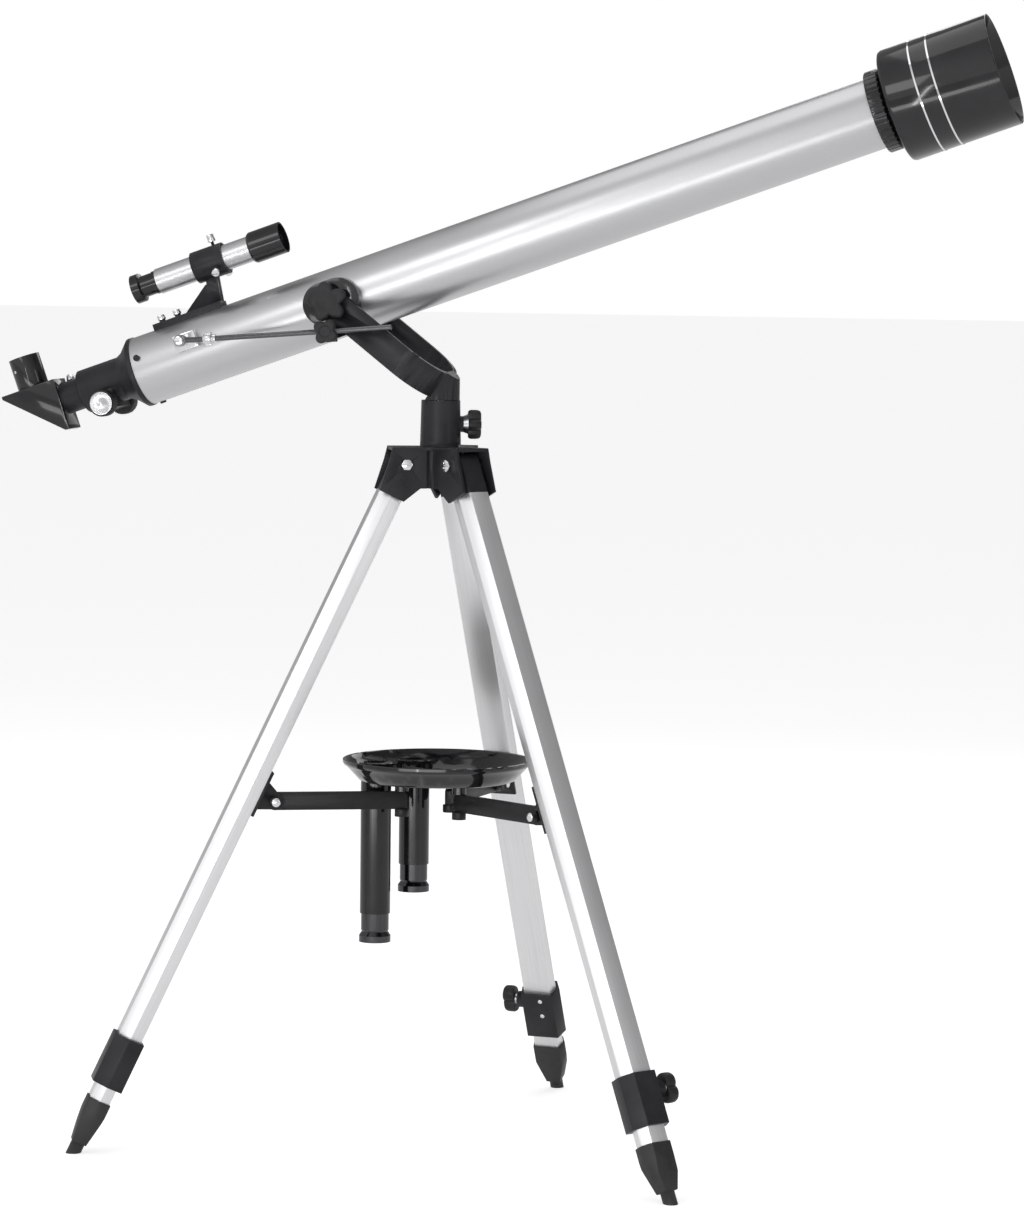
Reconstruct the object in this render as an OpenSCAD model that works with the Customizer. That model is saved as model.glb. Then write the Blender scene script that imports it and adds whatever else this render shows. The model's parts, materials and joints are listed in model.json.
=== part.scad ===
// Refracting telescope on an alt-azimuth fork and a folding three-legged stand.
// +X is the way the telescope points, +Z is up, and Z = 0 is the ground.

/* [Optical tube] */
// Outer diameter of the main tube
tube_od = 65; // [58:0.5:76]
// Wall of the main tube
tube_wall = 1.2; // [0.8:0.1:2]
// Length of tube behind the altitude pivot
tube_back = 205; // [190:1:235]
// Length of tube in front of the altitude pivot
tube_front = 530; // [450:1:640]
// Elevation of the tube at rest
tube_elevation = 19.5; // [5:0.5:40]
// Outer diameter of the ribbed ring that holds the objective
cell_od = 76; // [72:0.5:90]
// Length of that ring
cell_len = 13; // [10:0.5:18]
// Outer diameter of the dew shield
shield_od = 104; // [96:0.5:116]
// Length of the dew shield
shield_len = 104; // [80:1:130]
// Wall of the dew shield
shield_wall = 2.2; // [1.6:0.1:3]
// Clear diameter of the objective lens
objective_d = 60; // [54:0.5:60]

/* [Focuser] */
// Outer diameter of the focuser body
focuser_od = 41; // [40:0.5:48]
// Distance from the tube's end to the back of the focuser body
focuser_len = 62; // [56:1:72]
// Outer diameter of the drawtube
drawtube_od = 30; // [29:0.1:31]
// Bore that takes slim eyepieces
eyepiece_bore = 24.6; // [24.5:0.05:25]
// Pitch radius of the focusing pinion
pinion_r = 3.5; // [3.5:0.5:4]
// Number of pinion teeth
pinion_teeth = 14; // [14:1:16]
// Diameter of the focusing knobs
focus_knob_d = 25; // [20:0.5:28]
// Width of the diagonal's housing
diagonal_w = 34; // [32:0.5:40]
// Height of the eyepiece barrel
barrel_h = 30; // [22:0.5:40]

/* [Finder] */
// Outer diameter of the finder tube
finder_od = 24; // [20:0.5:25]
// Height of the finder's axis above the tube's axis
finder_rise = 74.6; // [68:0.2:90]
// Outer diameter of the finder's ring
finder_ring_od = 30; // [30:0.5:36]

/* [Fork] */
// Distance that the altitude pivot sits behind the stand's axis
pivot_back = 95; // [80:1:105]
// Height of the altitude pivot
pivot_z = 788; // [775:1:810]
// Gap between the fork's arms
fork_gap = 84; // [83:0.5:96]
// Thickness of the fork's band
band_t = 4.5; // [3.5:0.5:6]
// Width of the fork's band
band_w = 27; // [22:0.5:34]
// Radius of the altitude star knobs
star_r = 19; // [14:0.5:19]
// Diameter of the fine altitude rod
rod_d = 5; // [4:0.2:5]

/* [Stand] */
// Radius of the circle through the three feet
foot_circle_r = 337; // [300:1:400]
// Radius of the circle through the three leg pivots
leg_pivot_r = 34; // [33:0.5:40]
// Height of the leg pivots
leg_pivot_z = 639; // [600:1:645]
// Width of a leg's front face
leg_front_w = 20.8; // [18:0.2:24]
// Width of a leg at its widest
leg_mid_w = 32.4; // [28:0.2:33]
// Width of a leg's back face
leg_back_w = 27; // [22:0.2:28]
// Depth of a leg
leg_depth = 22.4; // [18:0.2:23]
// Wall of the leg sections
leg_wall = 1.2; // [1:0.1:1.6]
// Length of the sliding inner legs
inner_leg_len = 500; // [440:1:520]
// Diameter of the head's sleeve
sleeve_d = 36; // [32:0.5:42]

/* [Tray] */
// Outer radius of the tray's rim
tray_r = 88; // [84:1:96]
// Height of the tray
tray_h = 20; // [14:1:26]
// Height of the tray's underside above the ground
tray_z = 344.5; // [340:0.5:360]
// Radius at which the braces hinge on the leg brackets
brace_pivot_r = 152; // [145:1:158]
// Height of a brace arm
brace_h = 16.5; // [12:0.5:18]
// Thickness of a brace arm
brace_t = 6; // [4:0.5:8]
// Outer diameter of the spare optics that hang in the tray
spare_od = 28.5; // [26:0.5:30]
// Length of the erecting tube below the tray
erecting_drop = 155; // [120:1:170]
// Length of the barlow tube below the tray
barlow_drop = 111; // [90:1:150]

/* [Hidden] */
fine = 96;

// Direction of each leg about the vertical, and the side its clamp knob is on
LEG_TURN = [-157, -37, 83];
KNOB_SIDE = [-1, 1, 1];

// Working fits
run_gap = 0.05;
slip_gap = 0.4;

// Tube stations, measured along the tube from the altitude pivot
tube_r = tube_od / 2;
tube_bore_r = tube_r - tube_wall;
cell_s = tube_front - 1;
cell_end_s = cell_s + cell_len;
neck_r = cell_od / 2 - 4;
neck_len = 10;
shield_s = cell_end_s + 4;
shield_r = shield_od / 2;
shield_end_s = shield_s + shield_len;
flange_t = 4;
focuser_end_s = -tube_back - focuser_len;
drawtube_r = drawtube_od / 2;
drawtube_in_s = -tube_back + 32;
tube_screw_s = -tube_back + 7;
tube_screw_r = 1.5;
TUBE_SCREW_TURN = [70, 190, 310];
diagonal_front_s = focuser_end_s - 20;
nose_len = 22;
eye_r = eyepiece_bore / 2;

// Diagonal housing: a right-angle prism whose slope faces down and back
prism_leg = 54;
plate_t = 16;
barrel_wall = 2.45;
barrel_r = eye_r + barrel_wall;
prism_top_t = barrel_r + 5.3;
fold_s = diagonal_front_s - prism_leg / 2 + 0.7;
prism_wall = 2.4;
prism_low_t = prism_top_t - prism_leg + 5;
prism_back_s = diagonal_front_s - prism_leg;

// Ends of the hollow's slope, where the mirror lies, as [station, height]
SLOPE_HIGH = [prism_back_s + 12, prism_top_t - prism_wall];
SLOPE_LOW = [diagonal_front_s - 7, prism_low_t + 11];
slope_len = norm(SLOPE_HIGH - SLOPE_LOW);
slope_turn = atan2(SLOPE_HIGH[1] - SLOPE_LOW[1], SLOPE_LOW[0] - SLOPE_HIGH[0]);
mirror_t = 1.4;

// Pinion, rack and focusing shaft
lock_screw_r = 1.5;
rack_slot = 1.6;
rack_slot_w = 6;
pinion_w = rack_slot_w - 0.4;
rack_line_t = drawtube_r - 0.52;
shaft_t = rack_line_t + pinion_r;
shaft_s = -tube_back - 38;
shaft_r = 2;
tooth_pitch = 2 * PI * pinion_r / pinion_teeth;
tooth_up = 0.42;
tooth_down = 0.5;
rack_len = 88;
rack_start_s = drawtube_in_s - 4 - rack_len;
knob_y0 = focuser_od / 2 + 3;
focus_knob_w = 14;

// Finder stations along the tube
finder_ring_s = 80 - tube_back;
finder_ring_len = 31;
finder_back_s = finder_ring_s - 38;
finder_front_s = finder_ring_s + 57.6;
finder_cell_len = 32.5;
finder_cell_d = 29.7;
finder_foot_s = 25 - tube_back;
finder_foot_len = 70;
finder_screw_s = finder_ring_s + finder_ring_len - 8;

// Fork: its plane leans back from the top of the head's sleeve
fork_base_z = 714;
fork_lean = atan2(pivot_z - fork_base_z, pivot_back);
fork_len = norm([pivot_back, pivot_z - fork_base_z]);
fork_in = fork_gap / 2;
fork_out = fork_in + band_t;
fork_corner = 36;
altitude_screw_r = 4;
spindle_r = 9;
sleeve_top_z = 698;
collar_r = sleeve_d / 2 - 0.5;
pad_gap = 0.3;

// Fine altitude rod: from an eye on the tube's near side down to a clamp on the fork
rod_r = rod_d / 2;
eye_s = -146;
eye_t = 11.5;
clamp_s = -7;
clamp_t = -26;
rod_tilt = atan2(clamp_t - eye_t, clamp_s - eye_s);
rod_len = 203;
rod_y = -(fork_out + 5.5);
stud_r = 3;
nut_at = 27;

// Head
hub_top_z = leg_pivot_z + 16;
hub_low_z = leg_pivot_z - 22;
hub_core_r = leg_pivot_r - leg_depth / 2 - 1.4;
cheek_in = leg_mid_w / 2 + 0.35;
cheek_t = 2.6;
cheek_out = cheek_in + cheek_t;
bolt_r = 3;
azimuth_knob_turn = 18;
azimuth_knob_z = sleeve_top_z - 22;

// Legs: stations run down the leg from its pivot
leg_span = norm([foot_circle_r - leg_pivot_r, leg_pivot_z]);
lean = atan2(foot_circle_r - leg_pivot_r, leg_pivot_z);
leg_top = 31;
housing_low = leg_span - 70;
housing_h = 49;
housing_wall = 3.2;
outer_leg_end = housing_low - 15;
clamp_at = housing_low - housing_h + 15;
foot_len = 55;
foot_grip = 12.5;
foot_straight = 13;
inner_leg_end = leg_span - foot_len + foot_grip;
foot_end = leg_span - 11;
nub_r = 6.5;
clamp_screw_r = 2.5;
knob_y = leg_mid_w / 2 + 11.5;

// Half outline of a leg: front corner, widest corner, back corner
LEG_OUTLINE = [[leg_depth / 2, leg_front_w / 2], [0, leg_mid_w / 2],
               [-leg_depth / 2, leg_back_w / 2], [-leg_depth / 2, -leg_back_w / 2],
               [0, -leg_mid_w / 2], [leg_depth / 2, -leg_front_w / 2]];
inner_inset = leg_wall + slip_gap;

// Braces
brace_z = tray_z - 10.2 - brace_h / 2;
brace_in_r = 33;
pin_r = 2.5;
bracket_plate_t = 3;
ear_t = 3;
brace_drop = leg_pivot_z - brace_z;
brace_run = brace_pivot_r - leg_pivot_r;
bracket_at = brace_run * sin(lean) + brace_drop * cos(lean);
bracket_off = brace_drop * sin(lean) - brace_run * cos(lean);
thumb_r = 2;
thumb_grip = 3;
arm_nose = 5;
arm_slope = 3.5;

// Tray
tray_floor_r = tray_r - 15;
tray_wall = 2;
socket_h = 10.5;
socket_r = spare_od / 2 + 3.2;
spare_flange_r = socket_r - 1.4;
ERECTING_AT = [-60.3, 5.7];
BARLOW_AT = [-33.2, 43.4];

// The stand's axis, so that the origin is below the middle of the whole object's box
reach_back = pivot_back - prism_low_x();
reach_front = shield_end_s * cos(tube_elevation) + shield_r * sin(tube_elevation) - pivot_back;
reach_near = foot_reach(-90 - LEG_TURN[1]);
reach_far = foot_reach(90 - LEG_TURN[2]);
AXIS = [(reach_back - reach_front) / 2, (reach_near - reach_far) / 2, 0];

// Least distance along X from the altitude pivot to the diagonal's back tip
function prism_low_x() =
    (diagonal_front_s - prism_leg) * cos(tube_elevation) - prism_top_t * sin(tube_elevation);

// How far a foot's oval face reaches along a level direction that is turned away from its leg
function foot_reach(turn) = foot_circle_r * cos(turn)
    + norm([nub_r / cos(lean) * cos(turn), nub_r * sin(turn)]);

// A closed outline moved inward by d, corner by corner
function unit_in(e) = [-e[1], e[0]] / norm(e);
function wrap(i, n) = (i + n) % n;
function inset(pts, d) =
    [for (i = [0 : len(pts) - 1])
        let (n1 = unit_in(pts[i] - pts[wrap(i - 1, len(pts))]),
             n2 = unit_in(pts[wrap(i + 1, len(pts))] - pts[i]))
        pts[i] + d * (n1 + n2) / (1 + n1 * n2)];

module at_axis() translate(AXIS) children();
module along_x() rotate([0, 90, 0]) children();
module along_y() rotate([-90, 0, 0]) children();

// Frame of the optical tube: X along it from the altitude pivot, Z away from the ground
module tube_frame() at_axis() translate([-pivot_back, 0, pivot_z])
    rotate([0, -tube_elevation, 0]) children();

// Frame of a leg: Z up along it from its pivot, X outward
module leg_frame(k) at_axis() rotate([0, 0, LEG_TURN[k]])
    translate([leg_pivot_r, 0, leg_pivot_z]) rotate([0, -lean, 0]) children();

// Turned piece about the tube's axis, from [radius, station] points
module turned(points) along_x() rotate_extrude($fn = fine) polygon(points);

// Plain ring along X between two stations
module ring_x(s0, s1, r_out, r_in) translate([s0, 0, 0]) along_x() difference() {
    cylinder(r = r_out, h = s1 - s0, $fn = fine);
    translate([0, 0, -1]) cylinder(r = r_in, h = s1 - s0 + 2, $fn = fine);
}

// Length of leg section between two stations, with its outline moved inward by d
module leg_length(s0, s1, d) translate([0, 0, -s1]) linear_extrude(s1 - s0)
    polygon(inset(LEG_OUTLINE, -d));

// Lobed knob that stands on Z = 0
module lobed_knob(lobes, r, lobe_r, h, hub_r) {
    cylinder(r = hub_r, h = h, $fn = 48);
    for (i = [0 : lobes - 1]) rotate([0, 0, i * 360 / lobes]) {
        translate([r - lobe_r, 0, 0]) cylinder(r = lobe_r, h = h - 2, $fn = 32);
        translate([0, -lobe_r * 0.75, 0]) cube([r - lobe_r, lobe_r * 1.5, h - 2]);
    }
}

// ---- Head ----

// One pair of cheeks that holds a leg's top, with its pivot bore
module head_cheeks() {
    low = leg_top + 1;
    foot_x = leg_pivot_r + low * sin(lean);
    foot_z = leg_pivot_z - low * cos(lean);
    half = leg_depth / 2 + 1.2;
    outline = [[hub_core_r - 6, hub_top_z], [leg_pivot_r + 13, hub_top_z],
               [leg_pivot_r + 16, leg_pivot_z + 4],
               [foot_x + half * cos(lean), foot_z + half * sin(lean)],
               [foot_x - half * cos(lean), foot_z - half * sin(lean)],
               [leg_pivot_r - 13, hub_low_z], [hub_core_r - 6, hub_low_z]];
    difference() {
        for (side = [-1, 1])
            translate([0, side > 0 ? cheek_out : -cheek_in, 0])
                rotate([90, 0, 0]) linear_extrude(cheek_t) polygon(outline);
        translate([leg_pivot_r, -cheek_out - 1, leg_pivot_z]) along_y()
            cylinder(r = bolt_r + run_gap, h = 2 * cheek_out + 2, $fn = 48);
    }
}

module tripod_head() color("#17181a") at_axis() difference() {
    union() {
        translate([0, 0, hub_low_z])
            cylinder(r = hub_core_r, h = hub_top_z - hub_low_z, $fn = fine);
        translate([0, 0, hub_top_z])
            cylinder(r1 = sleeve_d / 2 + 1, r2 = sleeve_d / 2, h = sleeve_top_z - hub_top_z, $fn = fine);
        for (turn = LEG_TURN) rotate([0, 0, turn]) {
            head_cheeks();
            translate([0, -cheek_out, hub_top_z - 3])
                cube([leg_pivot_r + 13, 2 * cheek_out, 3]);
        }
        rotate([0, 0, azimuth_knob_turn]) translate([0, 0, azimuth_knob_z]) along_x()
            cylinder(r = 7.5, h = sleeve_d / 2 + 3, $fn = 48);
    }
    translate([0, 0, hub_low_z + 6])
        cylinder(r = spindle_r + run_gap, h = sleeve_top_z - hub_low_z, $fn = fine);
    rotate([0, 0, azimuth_knob_turn]) translate([0, 0, azimuth_knob_z]) along_x()
        cylinder(r = 3 + run_gap, h = sleeve_d, $fn = 48);
}

module leg_pivot_bolts() color("#c9cacc") at_axis()
    for (turn = LEG_TURN) rotate([0, 0, turn])
        translate([leg_pivot_r, -cheek_out, leg_pivot_z]) along_y() {
            cylinder(r = bolt_r, h = 2 * cheek_out, $fn = 48);
            difference() {
                translate([0, 0, -2.6]) cylinder(r = 5.6, h = 2.6, $fn = 48);
                translate([-6, -0.6, -3]) cube([12, 1.2, 1.2]);
            }
            translate([0, 0, 2 * cheek_out]) cylinder(r = 5.5, h = 3.5, $fn = 6);
        }

module azimuth_knob() color("#1c1c1e") at_axis() rotate([0, 0, azimuth_knob_turn])
    translate([spindle_r + 0.3, 0, azimuth_knob_z]) along_x() {
        cylinder(r = 3, h = sleeve_d / 2 + 9 - spindle_r, $fn = 48);
        translate([0, 0, sleeve_d / 2 + 7 - spindle_r]) rotate([0, 0, 20])
            lobed_knob(4, 14, 4.6, 14, 7.5);
    }

// ---- Fork ----

// Local fork frame: X up along the arms from the band's foot, Y across, Z through the band
module fork_frame() at_axis() translate([0, 0, fork_base_z])
    rotate([0, fork_lean - 180, 0]) mirror([0, 0, 1]) children();

// Flat outline of the U between an outer and an inner line
module fork_outline(out, corner) {
    translate([corner, -out]) square([fork_len - corner, 2 * out]);
    translate([0, -(out - corner)]) square([corner + 1, 2 * (out - corner)]);
    for (side = [-1, 1]) translate([corner, side * (out - corner)]) circle(r = corner, $fn = fine);
}

module fork() color("#2b2c2e") {
    difference() {
        union() {
            fork_frame() difference() {
                union() {
                    translate([0, 0, -band_w / 2]) linear_extrude(band_w) difference() {
                        translate([-band_t, 0]) fork_outline(fork_out, fork_corner + band_t);
                        fork_outline(fork_in, fork_corner);
                        translate([fork_len - 1, -fork_out - 1]) square([20, 2 * fork_out + 2]);
                    }
                    for (y0 = [-fork_out, fork_in]) translate([fork_len, y0, 0]) along_y()
                        cylinder(r = band_w / 2, h = band_t, $fn = fine);
                }
            }
            at_axis() intersection() {
                translate([0, 0, sleeve_top_z + 0.5])
                    cylinder(r = collar_r, h = 40, $fn = fine);
                translate([0, 0, fork_base_z]) rotate([0, fork_lean - 180, 0])
                    translate([-80, -60, -60]) cube([80, 120, 120]);
            }
            tube_frame() {
                translate([clamp_s, -fork_out, clamp_t]) along_y()
                    cylinder(r = 8, h = band_t, $fn = 48);
                translate([clamp_s, -fork_out, clamp_t - 8]) cube([20, band_t, 16]);
            }
        }
        tube_frame() translate([0, -fork_out - 1, 0]) along_y()
            cylinder(r = altitude_screw_r + run_gap, h = 2 * fork_out + 2, $fn = 48);
        tube_frame() translate([clamp_s, -fork_out - 1, clamp_t]) along_y()
            cylinder(r = stud_r + run_gap, h = band_t + 2, $fn = 48);
        at_axis() translate([0, 0, sleeve_top_z - 1])
            cylinder(r = spindle_r, h = 13, $fn = fine);
    }
}

module fork_spindle() color("#b7b9bc") at_axis() translate([0, 0, hub_low_z + 8])
    difference() {
        cylinder(r = spindle_r, h = sleeve_top_z + 12 - hub_low_z - 8, $fn = fine);
        translate([0, 0, azimuth_knob_z - hub_low_z - 13]) difference() {
            cylinder(r = spindle_r + 1, h = 10, $fn = fine);
            translate([0, 0, -1]) cylinder(r = spindle_r - 0.8, h = 12, $fn = fine);
        }
    }

// Star knob with its screw through a fork arm into the pad; side is -1 near, 1 far
module altitude_knob(side) color("#1b1b1d") tube_frame() rotate([side > 0 ? 180 : 0, 0, 0])
    translate([0, -fork_out, 0]) rotate([90, 0, 0]) {
        translate([0, 0, -band_t - 6]) cylinder(r = altitude_screw_r, h = band_t + 8, $fn = 48);
        translate([0, 0, 0.2]) cylinder(r = 7.5, h = 3, $fn = 48);
        translate([0, 0, 2.4]) rotate([0, 0, 10]) lobed_knob(5, star_r, 5.2, 9.6, 9.5);
    }

module rod_clamp() color("#26272a") tube_frame() translate([clamp_s, rod_y, clamp_t])
    rotate([0, -rod_tilt, 0]) {
        difference() {
            translate([-6, -4.4, -10]) cube([12, 8.8, 14.8]);
            translate([-7, -rod_r - 0.35, -8.4]) cube([14, 2 * rod_r + 0.7, 11.7]);
            translate([0, -6, 0]) along_y() cylinder(r = 2.05, h = 4, $fn = 48);
        }
        translate([0, 4.4, 0]) along_y() cylinder(r = 5, h = 0.9, $fn = 48);
        translate([0, 4.4, 0]) along_y() cylinder(r = stud_r, h = 5.2, $fn = 48);
    }

module rod_clamp_knob() color("#1b1b1d") tube_frame()
    translate([clamp_s, rod_y - rod_r - 0.3, clamp_t]) rotate([90, 0, 0]) {
        cylinder(r = 2, h = 8, $fn = 48);
        translate([0, 0, 5.5]) rotate([0, 0, 35]) lobed_knob(4, 12.5, 3.8, 10, 6.5);
    }

module altitude_rod() color("#9a9da1") tube_frame() translate([eye_s, rod_y, eye_t])
    rotate([0, -rod_tilt, 0]) difference() {
        union() {
            translate([3, 0, 0]) along_x() cylinder(r = rod_r, h = rod_len - 3, $fn = 48);
            translate([0, -2.5, 0]) along_y() cylinder(r = 5.5, h = 5, $fn = 48);
        }
        translate([0, -4, 0]) along_y() cylinder(r = 2.2 + run_gap, h = 8, $fn = 48);
    }

module fine_adjust_nut() color("#c4c6c9") tube_frame() translate([eye_s, rod_y, eye_t])
    rotate([0, -rod_tilt, 0]) translate([nut_at - 4, 0, 0]) along_x() difference() {
        union() {
            cylinder(r = 4.2, h = 12, $fn = 48);
            translate([0, 0, 2]) cylinder(r = 6.2, h = 6, $fn = 48);
        }
        translate([0, 0, -1]) cylinder(r = rod_r + run_gap, h = 14, $fn = 48);
    }

// ---- Optical tube ----

module main_tube() color("#b9babd") tube_frame() difference() {
    ring_x(-tube_back, tube_front, tube_r, tube_bore_r);
    for (side = [-1, 1]) translate([0, side * tube_r, 0]) rotate([90, 0, 0])
        cylinder(r = altitude_screw_r + 0.5, h = 8, center = true, $fn = 48);
    for (turn = TUBE_SCREW_TURN) rotate([turn, 0, 0])
        translate([tube_screw_s, 0, tube_r - tube_wall - 2])
            cylinder(r = tube_screw_r + run_gap, h = tube_wall + 4, $fn = 32);
}

// Oval saddle pads that carry the altitude screws
module pivot_pads() color("#141416") tube_frame() difference() {
    for (side = [-1, 1]) intersection() {
        translate([0, side > 0 ? 5 : -fork_in + pad_gap, 0]) along_y() {
            translate([-7, 0, 0]) cylinder(r = 20, h = fork_in - pad_gap - 5, $fn = fine);
            translate([7, 0, 0]) cylinder(r = 20, h = fork_in - pad_gap - 5, $fn = fine);
            translate([-7, -20, 0]) cube([14, 40, fork_in - pad_gap - 5]);
        }
    }
    translate([-60, 0, 0]) along_x() cylinder(r = tube_r, h = 120, $fn = fine);
    translate([0, -fork_in, 0]) along_y()
        cylinder(r = altitude_screw_r + run_gap, h = 2 * fork_in, $fn = 48);
}

// Chrome bracket with the pin that carries the rod's eye
module rod_bracket() color("#c8cacd") tube_frame() {
    difference() {
        union() {
            translate([eye_s - 11, -tube_r - 5, eye_t - 9]) cube([22, 14, 16]);
            translate([eye_s, rod_y + 2.8, eye_t]) along_y()
                cylinder(r = 4.6, h = -rod_y - 2.8 - tube_r + 4, $fn = 48);
            translate([eye_s, rod_y - 3.4, eye_t]) along_y() cylinder(r = 2.2, h = 12, $fn = 48);
            translate([eye_s, rod_y - 5.6, eye_t]) along_y() cylinder(r = 4.2, h = 2.6, $fn = 48);
        }
        translate([-200, 0, 0]) along_x() cylinder(r = tube_r, h = 120, $fn = fine);
    }
}

// Screws that hold the focuser and the pads on the tube
module tube_screws() color("#2a2a2c") tube_frame()
    for (turn = TUBE_SCREW_TURN) rotate([turn, 0, 0])
        translate([tube_screw_s, 0, tube_r - tube_wall]) {
            cylinder(r = tube_screw_r, h = tube_wall + 0.2, $fn = 32);
            translate([0, 0, tube_wall + 0.1]) cylinder(r = 3, h = 1.6, $fn = 32);
        }

module objective_cell() color("#121214") tube_frame() difference() {
    union() {
        turned([[objective_d / 2, cell_s - 14], [tube_bore_r, cell_s - 14],
                [tube_bore_r, cell_s + 1], [tube_r, cell_s + 1], [cell_od / 2 - 1, cell_s],
                [cell_od / 2, cell_s + 1], [cell_od / 2, cell_end_s - 1],
                [cell_od / 2 - 1, cell_end_s], [neck_r, cell_end_s],
                [neck_r, cell_end_s + neck_len + 40], [objective_d / 2, cell_end_s + neck_len + 40]]);
    }
    for (i = [0 : 35]) rotate([i * 10, 0, 0])
        translate([cell_s - 1, -0.9, cell_od / 2 - 0.9]) cube([cell_len + 2, 1.8, 3]);
    translate([cell_end_s - 2, 0, 0]) along_x()
        cylinder(r = objective_d / 2 + 1, h = 8, $fn = fine);
}

// Cemented doublet: a round glass with a crowned front
module objective_lens() color("#9fb6c8", 0.6) tube_frame() translate([cell_end_s - 2, 0, 0])
    intersection() {
        along_x() cylinder(r = objective_d / 2 + 1, h = 8, $fn = fine);
        translate([8 - 300, 0, 0]) sphere(r = 300, $fn = fine);
    }

module dew_shield() color("#0f0f11") tube_frame() {
    lip = neck_r + 0.3;
    turned([[lip, shield_s], [shield_r - 4, shield_s], [shield_r - 1.2, shield_s + 1.2],
            [shield_r, shield_s + 4], [shield_r, shield_end_s - 0.6],
            [shield_r - 0.6, shield_end_s], [shield_r - shield_wall, shield_end_s],
            [shield_r - shield_wall, shield_s + 3], [lip + 2.4, shield_s + 3],
            [lip + 2.4, shield_s + 42], [lip, shield_s + 42]]);
}

module dew_shield_rings() color("#d7d8da") tube_frame()
    for (at = [30, 47]) ring_x(shield_s + at, shield_s + at + 1.6, shield_r + 0.35, shield_r);

// ---- Focuser and diagonal ----

module focuser_body() color("#18191b") tube_frame() difference() {
    union() {
        turned([[0, -tube_back + 10], [tube_bore_r, -tube_back + 10], [tube_bore_r, -tube_back],
                [tube_r + 0.8, -tube_back], [tube_r + 0.8, -tube_back - flange_t],
                [focuser_od / 2 + 3, -tube_back - 14], [focuser_od / 2, -tube_back - 20],
                [focuser_od / 2, focuser_end_s + 1], [focuser_od / 2 - 1, focuser_end_s],
                [0, focuser_end_s]]);
        translate([shaft_s - 9, -focuser_od / 2, -shaft_t - 6.5])
            cube([18, focuser_od, shaft_t + 6.5 - 6]);
    }
    translate([-tube_back - focuser_len - 1, 0, 0]) along_x()
        cylinder(r = drawtube_r + run_gap, h = focuser_len + 12, $fn = fine);
    translate([shaft_s, -focuser_od / 2 - 1, -shaft_t]) along_y()
        cylinder(r = shaft_r + run_gap, h = focuser_od + 2, $fn = 48);
    translate([shaft_s, -6, -shaft_t]) along_y()
        cylinder(r = pinion_r + tooth_up + 0.6, h = 12, $fn = 48);
}

module drawtube() color("#202123") tube_frame() difference() {
    ring_x(diagonal_front_s, drawtube_in_s, drawtube_r, eye_r);
    translate([rack_start_s - 0.2, -rack_slot_w / 2, -drawtube_r - 1])
        cube([rack_len + 0.4, rack_slot_w, rack_slot + 1]);
    lock_screw_place() translate([0, 0, -2])
        cylinder(r = lock_screw_r + run_gap, h = drawtube_r, $fn = 32);
}

// Where the screw stands that holds the diagonal's nose
module lock_screw_place() translate([diagonal_front_s + 8, 0, 0]) rotate([-30, 0, 0])
    translate([0, 0, eye_r + 0.1]) children();

// Toothed strip let into the drawtube's underside, in mesh with the pinion
module gear_rack() color("#8e9093") tube_frame() {
    base_t = rack_line_t - tooth_down;
    teeth = floor(rack_len / tooth_pitch / 2) * 2;
    first = round((rack_start_s - shaft_s) / tooth_pitch) + 1;
    translate([rack_start_s, -2.9, -base_t])
        cube([rack_len, 5.8, base_t - drawtube_r + rack_slot]);
    for (i = [0 : teeth - 2])
        translate([shaft_s + (first + i) * tooth_pitch, 2.5, -base_t])
            rotate([90, 0, 0]) linear_extrude(5)
                polygon([[-0.42, 0.01], [0.42, 0.01], [0.14, -tooth_down - tooth_up + 0.05],
                         [-0.14, -tooth_down - tooth_up + 0.05]]);
}

module drawtube_screw() color("#c4c6c9") tube_frame() lock_screw_place() {
    cylinder(r = lock_screw_r, h = drawtube_r - eye_r + 2, $fn = 32);
    translate([0, 0, drawtube_r - eye_r + 1.5]) cylinder(r = 4, h = 6, $fn = 48);
}

module pinion_shaft() color("#a9abae") tube_frame()
    translate([shaft_s, 0, -shaft_t]) along_y() {
        translate([0, 0, -knob_y0 - 12]) cylinder(r = shaft_r, h = 2 * knob_y0 + 24, $fn = 48);
        translate([0, 0, -pinion_w / 2]) cylinder(r = pinion_r - tooth_down, h = pinion_w, $fn = 48);
        for (i = [0 : pinion_teeth - 1]) rotate([0, 0, (i + 0.5) * 360 / pinion_teeth - 90])
            translate([0, 0, -pinion_w / 2]) linear_extrude(pinion_w)
                polygon([[pinion_r - tooth_down - 0.3, -0.46], [pinion_r + tooth_up, -0.15],
                         [pinion_r + tooth_up, 0.15], [pinion_r - tooth_down - 0.3, 0.46]]);
    }

module focus_knobs() color("#131315") tube_frame()
    translate([shaft_s, 0, -shaft_t]) for (side = [0, 180]) rotate([side, 0, 0])
        translate([0, knob_y0, 0]) along_y() difference() {
            cylinder(r = focus_knob_d / 2, h = focus_knob_w, $fn = fine);
            translate([0, 0, -1]) cylinder(r = shaft_r, h = 14, $fn = 48);
            translate([0, 0, focus_knob_w - 1.2])
                cylinder(r = focus_knob_d / 2 - 1.5, h = 2, $fn = fine);
            for (i = [0 : 23]) rotate([0, 0, i * 15]) translate([focus_knob_d / 2, 0, -1])
                cylinder(r = 0.6, h = focus_knob_w + 2, $fn = 16);
        }

module focus_knob_caps() color("#d5d6d8") tube_frame()
    translate([shaft_s, 0, -shaft_t]) for (side = [0, 180]) rotate([side, 0, 0])
        translate([0, knob_y0 + focus_knob_w - 1.2, 0]) along_y()
            cylinder(r = focus_knob_d / 2 - 1.5, h = 1.5, $fn = fine);

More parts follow.
